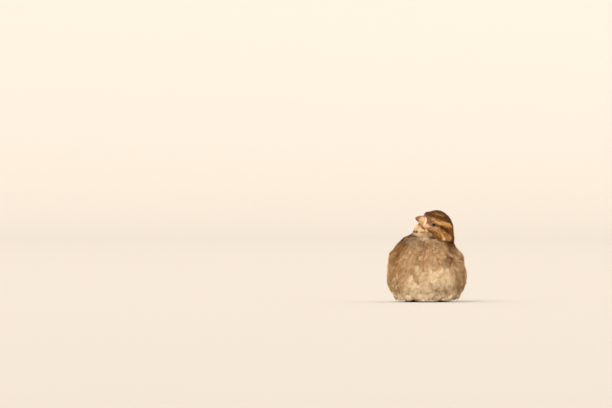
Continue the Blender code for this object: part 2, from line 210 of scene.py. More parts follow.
def fill_mesh(name, points, faces, places=None, colours=None):
    """A mesh from whole arrays; `faces` and `places` are lists of arrays, one for each corner count."""
    mesh = bpy.data.meshes.new(name)
    mesh.vertices.add(len(points))
    mesh.vertices.foreach_set("co", (np.asarray(points) * MM).astype(np.float32).ravel())
    corners = np.concatenate([f.ravel() for f in faces]).astype(np.int32)
    sizes = np.concatenate([np.full(len(f), f.shape[1]) for f in faces])
    mesh.loops.add(len(corners))
    mesh.loops.foreach_set("vertex_index", corners)
    mesh.polygons.add(len(sizes))
    starts = np.concatenate([[0], np.cumsum(sizes)[:-1]]).astype(np.int32)
    mesh.polygons.foreach_set("loop_start", starts)
    if places is not None:
        layer = mesh.uv_layers.new(name="OFBake")
        flat = np.concatenate([p.reshape(-1, 2) for p in places])
        layer.data.foreach_set("uv", flat.astype(np.float32).ravel())
    mesh.update(calc_edges=True)
    mesh.validate()
    if colours is not None:
        layer = mesh.color_attributes.new("paint", "FLOAT_COLOR", "POINT")
        opaque = np.hstack([colours, np.ones((len(colours), 1))])
        layer.data.foreach_set("color", opaque.astype(np.float32).ravel())
    mesh.shade_smooth()
    return mesh


# %% [markdown]
# A piece is an object that shows a mesh. It rides on one of the frame's bodies, and may stand in for solids
# of the frame, which then stay hidden and only serve collisions.

# %% From a mesh to a piece
def new_object(name, data):
    """An object in the scene that shows this mesh, lamp or camera."""
    thing = bpy.data.objects.new(name, data)
    bpy.context.scene.collection.objects.link(thing)
    return thing


def place_piece(name, mesh, material, slot, *nodes):
    """Links a mesh as a piece of the bird, which rides on its one body and may replace solids."""
    mesh.materials.append(material)
    piece = new_object(name, mesh)
    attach(piece, "root")
    if nodes:
        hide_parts(*nodes)
    print(f"{name}: {len(mesh.loop_triangles) or len(mesh.polygons)} faces")


def surface_piece(name, grid, colours, material, slot, *nodes):
    """A closed surface with a colour for each point of its grid, as a piece of its own."""
    mesh = fill_mesh(name, *closed_surface(grid), pole_colours(colours))
    place_piece(name, mesh, material, slot, *nodes)


# %% [markdown]
# ## The head's own axes
#
# The head is cocked, so forward, left and up on the head aren't the world's. Three angles turn one into the
# other: the bill comes round to the bird's right, it is lifted, and the crown tips over the left eye.
# Measuring the markings in these axes keeps them in place on the head however it is turned. The eyes' boxes
# say where the axes start.

# %% Head axes
HEAD_YAW, HEAD_PITCH, HEAD_ROLL = (math.radians(degrees) for degrees in (36.0, 14.0, 28.0))
EYE_FORWARD, EYE_UP = 6.2, 0.5  # the eyes' place ahead of and above the head's middle


def node_middle(name):
    low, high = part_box(name)
    return np.array((low + high) / 2) / MM


def head_axes():
    """Forward, left and up of the head, as unit vectors: yaw and pitch aim the bill, roll turns about it."""
    forward = np.array((
        -math.cos(HEAD_PITCH) * math.cos(HEAD_YAW),
        -math.cos(HEAD_PITCH) * math.sin(HEAD_YAW),
        math.sin(HEAD_PITCH),
    ))
    level_left = np.array((math.sin(HEAD_YAW), -math.cos(HEAD_YAW), 0.0))
    level_up = np.cross(forward, level_left)
    left = math.cos(HEAD_ROLL) * level_left - math.sin(HEAD_ROLL) * level_up
    return forward, left, np.cross(forward, left)


FORWARD, LEFT, UP = head_axes()
EYES = {name: node_middle("eye_" + name) for name, _ in SIDES}
EYE_RADIUS = float((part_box("eye_left")[1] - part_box("eye_left")[0]).z) / 2 / MM
HEAD = (EYES["left"] + EYES["right"]) / 2 - EYE_FORWARD * FORWARD - EYE_UP * UP


def to_head(points):
    """How far forward, left and up of the head's middle each point is."""
    away = points - HEAD
    return away @ FORWARD, away @ LEFT, away @ UP


def from_head(forward, left, up):
    """The point that is this far forward, left and up of the head's middle; arrays mix freely."""
    forward, left, up = np.broadcast_arrays(forward, left, up)
    return HEAD + forward[..., None] * FORWARD + left[..., None] * LEFT + up[..., None] * UP


for name, _ in SIDES:
    print(name, "eye is", [round(float(c), 1) for c in to_head(EYES[name])], "mm forward, left, up")

# %% [markdown]
# ## The coat's outer surface
#
# The solids give the bird out to its feather tips, in three pieces with thin gaps between them. What the
# coat needs is one smooth surface. It could come from a voxel remesh, but then nothing would say which
# point is left or up. Here it is a function of two parameters instead: a ray for each row v and column
# angle, from a core line inside the bird. Low rows fan out under the belly, middle rows climb the core line
# to the head, and high rows fan out over the crown. Where a ray meets the bill or an eye, the surface is
# filled in from its surroundings, because the coat has to run on underneath.

# %% Rays from the core
ROWS, COLUMNS = 200, 232
CORE_LOW = np.array((0.0, -25.0, 20.0))
CORE_HIGH = HEAD + np.array((0.0, 0.0, -1.0))
BELLY_SHARE, CROWN_SHARE = 0.30, 0.76  # where the rows stop fanning, and where they fan again
REACH = 90.0  # the rays come from this far outside
GAP_DEPTH = 0.6  # a ray that goes this much deeper than its neighbours went between two solids


def core_rays():
    """Where each ray starts and where it points, for every row and column."""
    v = np.linspace(0, 1, ROWS)[:, None]
    angle = full_turn(COLUMNS)
    climb = np.clip((v - BELLY_SHARE) / (CROWN_SHARE - BELLY_SHARE), 0, 1)
    rise = np.clip(v / BELLY_SHARE - 1, -1, 0) + np.clip((v - CROWN_SHARE) / (1 - CROWN_SHARE), 0, 1)
    rise = rise * math.pi / 2
    start = CORE_LOW + climb[..., None] * (CORE_HIGH - CORE_LOW) + 0 * angle[..., None]
    pointing = np.stack([
        np.cos(rise) * np.sin(angle),
        -np.cos(rise) * np.cos(angle),
        np.sin(rise) + 0 * angle,
    ], -1)
    return start, pointing


core_start, core_pointing = core_rays()
print("rays:", core_start.shape[0], "rows of", core_start.shape[1])


# %% Where rays meet the solids
def solids_tree(names):
    """A tree that finds where rays meet these solids, and for each face the number of its solid."""
    corners, faces, owner = [], [], []
    offset = 0
    for number, name in enumerate(names):
        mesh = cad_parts[name].data
        places = np.empty(len(mesh.vertices) * 3)
        mesh.vertices.foreach_get("co", places)
        indices = np.empty(len(mesh.loops), int)
        mesh.loops.foreach_get("vertex_index", indices)
        corners.append(places.reshape(-1, 3) / MM)
        faces.append(indices.reshape(-1, 3) + offset)
        owner.append(np.full(len(mesh.polygons), number))
        offset += len(mesh.vertices)
    tree = BVHTree.FromPolygons(np.vstack(corners).tolist(), np.vstack(faces).tolist())
    return tree, np.concatenate(owner)


def cast_on(names, start, pointing):
    """For each ray, from outside inwards: how far from the core it meets these solids, and which one."""
    tree, owner = solids_tree(names)
    flat_start = (start + pointing * REACH).reshape(-1, 3)
    flat_inwards = -pointing.reshape(-1, 3)
    hits = [tree.ray_cast(Vector(s), Vector(d)) for s, d in zip(flat_start, flat_inwards)]
    far = np.array([np.nan if h[3] is None else REACH - h[3] for h in hits])
    which = np.array([-1 if h[2] is None else owner[h[2]] for h in hits])
    return far.reshape(start.shape[:2]), which.reshape(start.shape[:2])


FLESH = ("head", "neck", "trunk")
FACE_HARD = ("eye_left", "eye_right", "bill_upper", "bill_lower")
WINGS = ("wing_left", "wing_right")
distance, owner = cast_on(FLESH + FACE_HARD, core_start, core_pointing)
print("rays that meet the flesh:", int(((owner >= 0) & (owner < len(FLESH))).sum()), "of", owner.size)


# %% One smooth surface
def neighbours(values):
    """The cells before, after and on both sides of each cell; the first and last row are their own."""
    before, after = np.roll(values, 1, 0), np.roll(values, -1, 0)
    before[0], after[-1] = values[0], values[-1]
    return before, after, np.roll(values, 1, 1), np.roll(values, -1, 1)


def spread_in(values, hidden, rounds=400):
    """Fills the hidden cells with the mean of their four neighbours, again and again, until it is smooth."""
    filled = np.where(hidden, np.nanmean(values[~hidden]), values)
    for _ in range(rounds):
        filled = np.where(hidden, sum(neighbours(filled)) / 4, filled)
    return filled


def widened(mask, rounds):
    """A mask grown by its neighbours, round after round."""
    for _ in range(rounds):
        mask = np.logical_or.reduce((mask, *neighbours(mask)))
    return mask


def eased(values, rounds):
    """Rounds of smoothing: each cell becomes half itself and half the mean of its neighbours."""
    for _ in range(rounds):
        values = values / 2 + sum(neighbours(values)) / 8
    return values


missed = widened((owner >= len(FLESH)) | np.isnan(distance), 2)
ring_median = np.median(np.stack([np.roll(distance, k, 0) for k in (-2, -1, 0, 1, 2)]), 0)
slipped = np.abs(distance - ring_median) > GAP_DEPTH  # rays that went into the gap between two solids
slipped[:3] = slipped[-3:] = False
distance = eased(spread_in(distance, missed | slipped), 5)
print("coat surface:", distance.shape, "points, filled in:", int((missed | slipped).sum()))

# %% [markdown]
# In the cold a bird tucks the bend of each wing under its breast feathers. So the coat's surface climbs over
# the front of the wing, and dives under the wing's feathers further back.

# %% Over the bend of the wing
TUCKED_FROM, TUCKED_TO = -39.0, -27.0  # along the bird: where the coat covers the wing, and where it doesn't
COVER = 1.2  # of coat over the wing, which hides its small coverts there
over_wings, wing_owner = cast_on(FLESH + FACE_HARD + WINGS, core_start, core_pointing)
on_wings = wing_owner >= len(FLESH + FACE_HARD)
over_wings = np.where(on_wings, over_wings, distance)
wing_y = (core_start + core_pointing * over_wings[..., None])[..., 1]
tucked = eased(ramp(TUCKED_TO, TUCKED_FROM, wing_y), 9)
cover = COVER * eased(on_wings.astype(float), 6)
distance = distance + tucked * np.maximum(eased(over_wings, 3) + cover - distance, 0)
distance = eased(distance, 4)
coat_grid = core_start + core_pointing * distance[..., None]
print("of the surface, over a wing:", round(float((on_wings & (tucked > 0.5)).mean()), 3))


# %% Slopes and normals of the surface
def slopes(grid):
    """How a grid's points move from row to row and from column to column."""
    return np.gradient(grid, axis=0), (np.roll(grid, -1, 1) - np.roll(grid, 1, 1)) / 2


def grid_normals(grid):
    """Unit normals from the cross product of the grid's two slopes; poles take their ring's mean."""
    along, around = slopes(grid)
    normals = unit(np.cross(around, along))
    normals[0] = unit(normals[1].mean(0))
    normals[-1] = unit(normals[-2].mean(0))
    return normals


# %% [markdown]
# The head sits on the breast like a ball on a cushion: its lowest feathers end in a clear line, with a crease
# under them, and the first breast feathers start under that edge. Where breast and wing meet is another
# crease. Both are lines of height and distance from the middle, in which the surface sinks a little. The
# loose feathers of breast and belly part in a few short clefts, and the rest of the body gets low soft lumps,
# for a coat of raised feathers is never an even ball. The forehead stands out over the bill, and so does
# the throat below it.

# %% The head's line
LINE_HEIGHT, LINE_BESIDE = 60.9, 5.0  # the line's height at a place this far left of the middle
UNDERLAP = 1.6  # how far above the line the first breast feathers grow


def head_line(points):
    """Height of the line where the head's feathers end, from how far left of the middle a place is.

    It falls to the bird's left at one slope, more steeply past the chin and less so further out, and it
    is lifted by a bell under the cheek and by a ramp at the nape's side.
    """
    x = points[..., 0]
    beside = x - LINE_BESIDE
    line = LINE_HEIGHT - 0.19 * beside - 0.24 * np.maximum(beside, 0) + 0.28 * np.maximum(beside - 8.0, 0)
    return line + 3.3 * bell(x, 9.0, 6.0) + 2.8 * ramp(10.0, 15.0, x)


def over_line(points):
    """How far above the head's line each place is, and below it where negative."""
    return points[..., 2] - head_line(points)


def in_front(points):
    """1 on the side of the bird that the breast is on, 0 at the back."""
    return ramp(-24.0, -35.0, points[..., 1])


def starts_under(points):
    """True just above the head's line in front, where breast feathers start under the head's lowest ones."""
    return (over_line(points) > 0) & (over_line(points) < UNDERLAP) & (in_front(points) > 0.3)


def on_head(points):
    """0 on the body, 1 on the head: a clear line at the front, a soft change at the nape."""
    soft = 0.9 + 5.0 * (1 - in_front(points))
    return ramp(-1, 1, over_line(points) / soft)


middle_line = float(head_line(np.zeros(3)))
print("the head's line over the middle of the breast:", round(middle_line, 1), "mm up")

# %% Creases, clefts and flecks
WING_CREASES = [
    [(-20.0, 59.0), (-23.0, 51.0), (-26.0, 42.0), (-28.0, 34.0)],
    [(19.0, 57.5), (22.5, 50.0), (20.5, 42.0), (16.5, 34.0)],
]
CLEFTS = [  # where the loose belly and breast feathers part
    [(-13.5, 29.5), (-10.5, 26.0), (-8.0, 21.5)],
    [(6.5, 14.5), (9.0, 13.3), (11.5, 12.3)],
    [(15.5, 14.5), (17.0, 12.0), (19.0, 9.0)],
    [(28.0, 24.0), (29.5, 18.0), (27.5, 12.0)],
    [(-5.8, 56.0), (-3.0, 55.2)],
    [(0.5, 53.0), (2.6, 52.6)],
    [(-0.9, 52.0), (-2.4, 50.0)],
    [(-4.6, 48.5), (-5.6, 46.0)],
    [(-8.3, 41.5), (-9.2, 39.3)],
    [(9.2, 39.5), (10.2, 37.3)],
]
FLECKS = [  # where the pale middles of feathers show
    [(-5.2, 57.2), (-3.0, 58.2), (-0.5, 59.4)],
    [(6.6, 58.3), (8.0, 58.1), (9.2, 57.8)],
    [(20.2, 45.0), (21.2, 44.4), (22.0, 43.8)],
    [(0.4, 32.4), (1.2, 31.0), (1.8, 29.6)],
    [(-7.5, 58.0), (-6.0, 58.8), (-4.8, 59.2)],
]
FAR = 99.0  # stands for the distance of a line that is not there


def near_lines(points, tables, width):
    """How near a place on the front is to the nearest of these lines: 1 on it, fading over the width."""
    nearest = np.full(points.shape[:-1], FAR)
    for table in tables:
        curve = through(table, np.linspace(0, 1, 30))
        gap = points[..., None, (0, 2)] - curve
        nearest = np.minimum(nearest, np.sqrt((gap**2).sum(-1)).min(-1))
    return np.exp(-((nearest / width) ** 2)) * in_front(points)


def in_crease(points, width):
    """How near a place is to where breast and wing meet; the crease fades out above and below."""
    fade = ramp(32.0, 40.0, points[..., 2]) * ramp(60.0, 54.0, points[..., 2])
    return near_lines(points, WING_CREASES, width) * fade


print("lines on the front:", len(WING_CREASES + CLEFTS + FLECKS))


# %% Relief
def relief(points):
    """Millimetres that the surface stands out, or in where negative: a bell or a ripple for each form."""
    crease = -1.3 * bell(over_line(points), -3.2, 1.3) + 0.5 * bell(over_line(points), 0.0, 2.0)
    crease = crease * in_front(points) * (0.15 + 1.15 * ramp(0, 12, points[..., 0]))
    forward, left, up = to_head(points)
    forehead = 1.8 * bell(forward, 11.8, 3.2) * bell(up, 5.4, 2.8) * ramp(7.0, 3.0, np.abs(left))
    nape = 0.8 * bell(forward, -15.5, 4.5) * bell(up, 0.0, 4.0)
    throat = 1.5 * bell(up, -10.5, 2.2) * bell(forward, 15.0, 4.0)
    lumps = 0.45 * ripple(points, 17.0, 3) + 0.16 * ripple(points, 7.5, 4)
    parted = 1.5 * in_crease(points, 2.0) + 0.7 * near_lines(points, CLEFTS, 1.5)
    return crease + forehead + nape + throat - parted + lumps * (1 - on_head(points))


coat_grid = coat_grid + grid_normals(coat_grid) * relief(coat_grid)[..., None]
coat_normals = grid_normals(coat_grid)
outward = np.einsum("ijk,ijk->ij", coat_normals, core_pointing)
print("normals that point out:", round(float((outward > 0).mean()), 3))

# %% [markdown]
# ## The coat's depth and the lie of the feathers
#
# A raised body feather stands several millimetres off the skin, while those round the bill and the eye are
# almost flat. Feathers lie away from the bill over the head, then down and back over the body to the tail.
# Both are plain formulas of a point's place, so the skin, the feathers and the markings all agree.

# %% Depth and lie
BODY_DEPTH = 4.4  # from the tips of the body's feathers to the skin
BILL_ROOT = (13.5, 0.0, -0.8)  # forward, left and up: what the head's feathers point away from
LID_EDGE = 2.2  # from an eye's middle to where the feathers round it start


def coat_depth(points):
    """How far under the feather tips the skin lies: a few sums of ramps, less on the face."""
    forward, _, up = to_head(points)
    back_of_head = ramp(8.0, -12.0, forward)
    face = 0.65 + 1.5 * back_of_head + 1.2 * ramp(-5.0, -12.0, up)
    return BODY_DEPTH + ramp(-11.0, 1.0, over_line(points)) * (face - BODY_DEPTH)


def lie(points, normals):
    """The way that feathers point at each place: a wished-for direction with its normal part removed.

    On the head it leads away from the bill and droops, most where the feathers hang over the head's line.
    """
    from_neck = unit((points - (0.0, -14.0, 0.0)) * (1.0, 1.0, 0.0))
    high = ramp(44.0, 56.0, points[..., 2])[..., None]
    body_way = np.array((0.0, 0.55, -1.0)) * (1 - high) + (from_neck + (0.0, 0.15, -0.9)) * high
    from_bill = points - from_head(*BILL_ROOT)
    near_line = ramp(6.5, 1.5, over_line(points)) * in_front(points)
    droop = 0.25 + 0.9 * ramp(2.0, -14.0, to_head(points)[0]) + 1.1 * near_line
    head_way = unit(from_bill) - droop[..., None] * STRAIGHT_UP - 0.35 * FORWARD
    wish = mix(body_way, head_way, on_head(points))
    for name, side in SIDES:
        away = flattened(points - (EYES[name] + side * LEFT * EYE_RADIUS), normals)
        near = np.exp(-np.maximum(np.linalg.norm(away, axis=-1) - LID_EDGE, 0) / 1.2)
        wish = wish + 1.5 * near[..., None] * unit(away)
    return unit(flattened(wish, normals))


depth_grid = coat_depth(coat_grid)
skin_grid = coat_grid - coat_normals * depth_grid[..., None]
print("coat depth from", round(float(depth_grid.min()), 2), "to", round(float(depth_grid.max()), 2), "mm")

# %% [markdown]
# ## Markings
#
# A hen sparrow looks plain, yet her head alone has a dark crown, a broad buff brow behind the eye, a dark
# line through it, a streaked cheek and a pale throat. The marks are soft bands around curves on the side of
# the head. They could be painted on a map, but a mark that is a formula of place stays sharp at any size, and
# skin and coat ask the same functions, so they can't disagree.

# %% Palette
CROWN = (0.084, 0.032, 0.009)
CROWN_EDGE = (0.240, 0.115, 0.044)
BROW = (0.690, 0.380, 0.140)
EYE_LINE = (0.062, 0.022, 0.004)
CHEEK = (0.310, 0.155, 0.056)
EAR = (0.370, 0.215, 0.090)
LORE = (0.270, 0.150, 0.066)
PALE = (0.700, 0.500, 0.330)
PATCH_PALE = (0.690, 0.430, 0.170)
THROAT = (0.810, 0.630, 0.430)
NECK_PATCH = (0.600, 0.310, 0.085)
NAPE = (0.200, 0.072, 0.012)
BREAST = (0.402, 0.260, 0.138)
BREAST_TOP = (0.430, 0.308, 0.198)
BELLY = (0.770, 0.645, 0.450)
FLANK = (0.800, 0.580, 0.350)
MOTTLE = (0.285, 0.170, 0.080)
SIDE = (0.310, 0.145, 0.043)
# a dark brown used as painted shade in creases and under the head's edge
CREASE_SHADE = (0.120, 0.046, 0.008)
MANTLE = (0.260, 0.165, 0.095)
RUMP = (0.330, 0.235, 0.155)
WING_DARK = np.array((0.070, 0.040, 0.024))
MANTLE_FRONT = (-24.0, -18.0)  # along the bird: where the streaks of the back begin

print("the crown reflects", round(sum(CROWN) / sum(THROAT), 2), "of what the throat does")


# %% Bands along curves
def read_curve(table, value):
    """The second column of a table at a value of its first, along its smooth curve."""
    curve = through(table, np.linspace(0, 1, 200))
    return np.interp(value, curve[:, 0], curve[:, 1])


def band(forward, up, table, width):
    """How strongly each place lies in a band that follows a curve of (forward, up) points."""
    curve = through(table, np.linspace(0, 1, 24))
    gap = np.stack([forward, up], -1)[..., None, :] - curve
    nearest = np.sqrt((gap**2).sum(-1)).min(-1)
    return 1 - ramp(0.55 * width, 1.25 * width, nearest)


# %% Markings of the body
def body_colours(points, normals):
    """Breast, belly, flanks and back: each fades into the next by where a place is and how it faces."""
    x, y, z = np.moveaxis(points, -1, 0)
    facing_back, facing_up = normals[..., 1], normals[..., 2]
    line, front = over_line(points), in_front(points)
    beside = np.abs(x)
    facing = ramp(0.25, -0.55, facing_back)
    breast = layered(plain(BREAST, points), [
        (BREAST_TOP, ramp(50.0, 58.0, z) * ramp(20.0, 8.0, np.abs(x + 4))),
        (SIDE, (0.50 - 0.40 * ramp(10.0, 25.0, x)) * ramp(19.0, 29.0, beside) * ramp(30.0, 44.0, z)),
    ])
    hanging, thin = points * (1.0, 1.0, 0.4), points * (1.0, 1.0, 0.3)  # patches drawn out downwards
    low = ramp(47.0, 14.0, z + 0.10 * beside + 6.5 * ripple(hanging, 7.0, 33)) * ramp(31.0, 13.0, np.abs(x - 4))
    flank_streaks = patches(hanging, 4.0, 9, high=0.7) * ramp(20.0, 30.0, beside)
    # painted shade in the crease where breast and wing meet
    crease = (0.60 + 0.20 * ramp(0, 10, x) + 0.3 * ripple(points, 5.0, 41)) * in_crease(points, 3.0)
    on_mantle = ramp(-0.1, 0.35, facing_up) * ramp(0.2, 0.45, facing_back)
    on_mantle = on_mantle * ramp(12.0, 0.0, y) * ramp(*MANTLE_FRONT, y)
    return layered(plain(MANTLE, points), [
        (FLANK, ramp(0.75, 0.1, facing_back + 0.35 * facing_up)),
        (breast, facing),
        (BELLY, low * ramp(0.4, -0.2, facing_back * ramp(8, 20, z))),
        (BELLY, 0.7 * ramp(-0.3, -0.9, facing_up)),  # the underside
        (MOTTLE, patches(points * (1.0, 1.0, 0.7), 2.6, 8) * facing * (0.25 + 0.25 * ramp(34.0, 44.0, z))),
        (SIDE, 0.30 * patches(thin, 2.0, 51, 0.1) * facing * ramp(46.0, 36.0, z)),
        (BELLY, (0.35 - 0.17 * ramp(24.0, 34.0, z)) * patches(thin, 2.4, 21, 0.1, 0.7) * facing),
        (SIDE, (0.55 - 0.38 * ramp(15.0, 25.0, x)) * flank_streaks),
        (CREASE_SHADE, crease),
        (SIDE, 0.45 * ramp(-15.0, -22.0, x) * ramp(44.0, 51.0, z) * ramp(-16.0, -26.0, y)),  # the shoulder
        (BELLY, 0.6 * near_lines(points, FLECKS, 1.1)),
        # painted shade in the clefts where the loose feathers part
        (MOTTLE, 0.85 * near_lines(points, CLEFTS, 2.1)),
        # painted shade under the cheek and under the nape, where the head hangs over the breast
        (CREASE_SHADE, 0.6 * ramp(-4.2, -2.6, line) * front * ramp(2.0, 6.5, x)),  # under the cheek
        (CREASE_SHADE, 0.7 * ramp(-9.5, -3.0, line) * ramp(15.0, 19.0, x) * front),  # under the nape
        (RUMP, ramp(2.0, 14.0, y) * ramp(0.0, 0.5, facing_up)),
        (WING_DARK, 0.75 * on_mantle * patches(points * (1.0, 0.4, 0.4), 5.0, 13, high=0.5)),
    ])


# %% [markdown]
# The head's markings are painted in the order in which they cover each other: first the cheek, the lore before
# the eye and the throat, then spots and streaks, then brow and eye line, and the crown last.

# %% Markings of the head
# Curves on the side of the head, through places given as (forward, up).
BROW_CURVE = [(7.0, 4.0), (4.2, 4.0), (1.5, 4.7), (-1.8, 5.5), (-5.8, 5.6), (-9.0, 5.4), (-13.0, 5.2)]
LINE_CURVE = [(4.6, 1.8), (2.5, 1.7), (0.5, 1.6), (-2.0, 1.6), (-6.0, 1.1)]
LINE_WIDE_CURVE = [(0.2, 1.8), (-3.4, 1.5), (-6.5, 0.9), (-10.0, 0.6), (-14.0, 0.4)]
PATCH_CURVE = [(0.8, -5.4), (-0.7, -5.0), (-3.1, -4.7), (-5.0, -4.2)]
WHISKER_CURVE = [(9.2, -5.7), (8.2, -5.9), (7.2, -6.1)]
LOW_CHEEK_CURVE = [(7.6, -7.0), (5.4, -6.2), (3.4, -5.6), (1.8, -5.6)]
BILL_SHADOW_CURVE = [(14.6, -5.6), (13.7, -5.9), (12.4, -6.6)]
PALE_CURVE = [(14.2, -4.0), (12.8, -3.4), (10.6, -2.2), (8.9, -1.8), (6.3, -1.5), (4.5, -0.9)]
CROWN_STREAK = [(7.0, 9.6), (4.4, 10.2), (0.5, 10.6)]
CROWN_LINE = [
    (-15.0, 4.6), (-12.5, 5.9), (-9.5, 6.8), (-4.3, 7.2),
    (2.3, 7.0), (6.0, 6.7), (9.5, 6.5), (13.5, 5.0),
]


def head_colours(points):
    """Crown, brow, eye line, cheek and throat, as bands and spots in the head's own axes."""
    forward, left, up = to_head(points)
    side = np.abs(left)
    on_side = ramp(2.5, 5.0, side)

    def spot(ahead, length, high, height):
        """A soft oval spot around a place on the side of the head."""
        return bell(forward, ahead, length) * bell(up, high, height)

    def along(curve, width):
        return band(forward, up, curve, width)

    chin = bell(left, 2.6, 1.8) * bell(up, -12.2, 1.2) + bell(left, -1.6, 2.2) * bell(up, -13.9, 1.3)
    behind_gape = ramp(1.5, 3.5, side) * (0.34 + 0.58 * ramp(9.0, 11.2, forward))
    broken = 1 - 0.35 * patches(points, 2.2, 37, high=0.7)
    brow = on_side * broken * (1 - 0.4 * ramp(-9.0, -12.0, forward))
    brow_width = 1.7 - 0.9 * ramp(1.0, 6.0, forward) - 0.5 * ramp(-6.0, -10.0, forward)
    red_brown = mix(plain(NAPE, points), EYE_LINE, 0.6 * patches(points, 3.0, 61, -0.1, 0.5))
    crown = layered(plain(CROWN, points), [
        (EAR, 0.60 * along(CROWN_STREAK, 0.6)),
        (CROWN_EDGE, 0.50 * patches(points, 2.6, 17) * ramp(-9.0, -4.0, forward)),
    ])
    return layered(plain(CHEEK, points), [
        (EAR, spot(-0.5, 3.2, -2.6, 2.6)),
        (LORE, ramp(5.5, 8.0, forward) * ramp(-2.5, 0.0, up)),
        (THROAT, ramp(-4.0, -8.0, up) * ramp(5.0, 11.0, forward) * (1 - 0.55 * ramp(4.5, 9.5, side))),
        (NECK_PATCH, 0.5 * spot(14.4, 1.6, -7.0, 1.6)),
        (EYE_LINE, 0.65 * patches(points, 2.0, 12, high=0.5) * ramp(14.5, 9.0, forward) * ramp(-13, -9, up)),
        (BROW, 0.40 * patches(points, 2.2, 31, high=0.5) * ramp(13.0, 8.0, forward)),
        # dark spots under the chin: painted shade in a gap between the chin feathers
        (EYE_LINE, 0.95 * np.minimum(1.7 * chin, 1) * ramp(11.5, 13.5, forward)),
        # painted shadow under the lower mandible's edge, behind the gape
        (EYE_LINE, 0.75 * ramp(1.0, 2.4, side) * along(BILL_SHADOW_CURVE, 1.0)),
        (EYE_LINE, 0.50 * on_side * spot(10.0, 1.4, 1.6, 1.1)),  # before the eye
        (PALE, 0.42 * on_side * spot(8.9, 2.0, 4.8, 0.9)),  # over the lore
        (PALE, behind_gape * along(PALE_CURVE, 1.3 + 0.4 * ramp(10.0, 12.0, forward))),
        (BROW, brow * along(BROW_CURVE, brow_width)),
        (EYE_LINE, 0.70 * on_side * along(LINE_CURVE, 0.9)),
        (red_brown, ramp(-7.0, -9.0, forward) * ramp(4.4, 3.6, up) * ramp(-3.6, -2.4, up)),
        (EYE_LINE, 0.90 * on_side * along(LINE_WIDE_CURVE, 1.8) * ramp(-11, -6, forward)),
        (NAPE, 0.55 * ramp(-3.4, -5.4, up) * ramp(4.0, -1.0, forward)),  # the side of the neck
        (PATCH_PALE, 0.85 * on_side * broken * along(PATCH_CURVE, 1.0)),
        (PATCH_PALE, 0.75 * spot(-8.1, 1.4, -2.8, 1.3)),
        (EYE_LINE, 0.85 * on_side * along(WHISKER_CURVE, 0.8)),
        (EYE_LINE, 0.45 * on_side * along(LOW_CHEEK_CURVE, 1.2)),
        (crown, ramp(-0.7, 0.7, up - read_curve(CROWN_LINE, forward))),
        (NAPE, ramp(-11.5, -13.5, forward + np.maximum(up - 4.5, 0))),
    ])


def markings(points, normals):
    """The plumage's colour at each place, before any feather adds its own pattern."""
    return mix(body_colours(points, normals), head_colours(points), on_head(points))


print("colour on top of the head:", head_colours(from_head(0.0, 0.0, 10.0)).round(3))

# %% [markdown]
# ## Finishes
#
# Everything on a bird is finely uneven. One recipe serves feathers, horn and bare skin alike: the colour that
# is painted on the mesh, made a little lighter and darker by fine noise, which also gives a small bump. The
# noise reads Object coordinates, so it stays in place on the piece and needs no image.

# %% Finishes
def set_sockets(node, values):
    """Sets a node's inputs by their names."""
    for socket, value in values.items():
        node.inputs[socket].default_value = value


def painted_material(name, values):
    """A material that shows the colours painted on the mesh. Gives it with its nodes, links and shader."""
    material = bpy.data.materials.new(name)
    material.use_nodes = True
    nodes, links = material.node_tree.nodes, material.node_tree.links
    shader = nodes["Principled BSDF"]
    set_sockets(shader, values)
    painted = nodes.new("ShaderNodeVertexColor")
    painted.layer_name = "paint"
    links.new(painted.outputs["Color"], shader.inputs["Base Color"])
    return material, nodes, links, shader


def dim(nodes, links, shader, factor):
    """Multiplies the colour that reaches the shader by a node's result."""
    scaled = nodes.new("ShaderNodeVectorMath")
    scaled.operation = "SCALE"
    links.new(shader.inputs["Base Color"].links[0].from_socket, scaled.inputs[0])
    links.new(factor, scaled.inputs["Scale"])
    links.new(scaled.outputs["Vector"], shader.inputs["Base Color"])


def plumage_material(name, roughness, grain, sheen=0.0, specular=0.15):
    """Reads the painted colour, varies it finely, and roughens the surface with a small bump."""
    material, nodes, links, shader = painted_material(name, {
        "Roughness": roughness,
        "Specular IOR Level": specular,
        "Sheen Weight": sheen,
        "Sheen Roughness": 0.5,
    })
    place = nodes.new("ShaderNodeTexCoord")
    speckle = nodes.new("ShaderNodeTexNoise")
    set_sockets(speckle, {"Scale": grain, "Detail": 3.0})
    links.new(place.outputs["Object"], speckle.inputs["Vector"])
    level = nodes.new("ShaderNodeMapRange")
    set_sockets(level, {"From Min": 0.3, "From Max": 0.7, "To Min": 0.82, "To Max": 1.18})
    links.new(speckle.outputs["Fac"], level.inputs["Value"])
    dim(nodes, links, shader, level.outputs["Result"])
    bump = nodes.new("ShaderNodeBump")
    set_sockets(bump, {"Strength": 0.25, "Distance": 0.0002})
    links.new(speckle.outputs["Fac"], bump.inputs["Height"])
    links.new(bump.outputs["Normal"], shader.inputs["Normal"])
    return material

# %% [markdown]
# ## The skin
#
# The skin is the coat's surface moved in by the coat's depth. It is seen only in the depths between
# feathers, so it carries the markings darkened: partly for its darker down, and partly as painted shade of
# those depths. Its own unwrap, the share around and the share along, is kept for the feathers: each one is
# painted from the spot where it is rooted.

# %% Skin
# darker down, and painted shade of the depths between feathers
DOWN_AND_DEPTH_SHADE = 0.55  # of the plumage's own colour
skin_colours = DOWN_AND_DEPTH_SHADE * markings(coat_grid, coat_normals)
down = plumage_material("down_on_skin", 0.95, 900.0, sheen=0.2)
surface_piece("skin", skin_grid, skin_colours, down, "plumage_breast", *FLESH)

# %% [markdown]
# ## Where feathers grow
#
# Feathers grow in an even scatter, closer together where they are small. Candidates fall at random on the
# surface, as many for each patch as its area asks for, and one is kept only if no kept one is nearer than
# the spacing there. That looks more natural than rows, and leaves no bare spots.

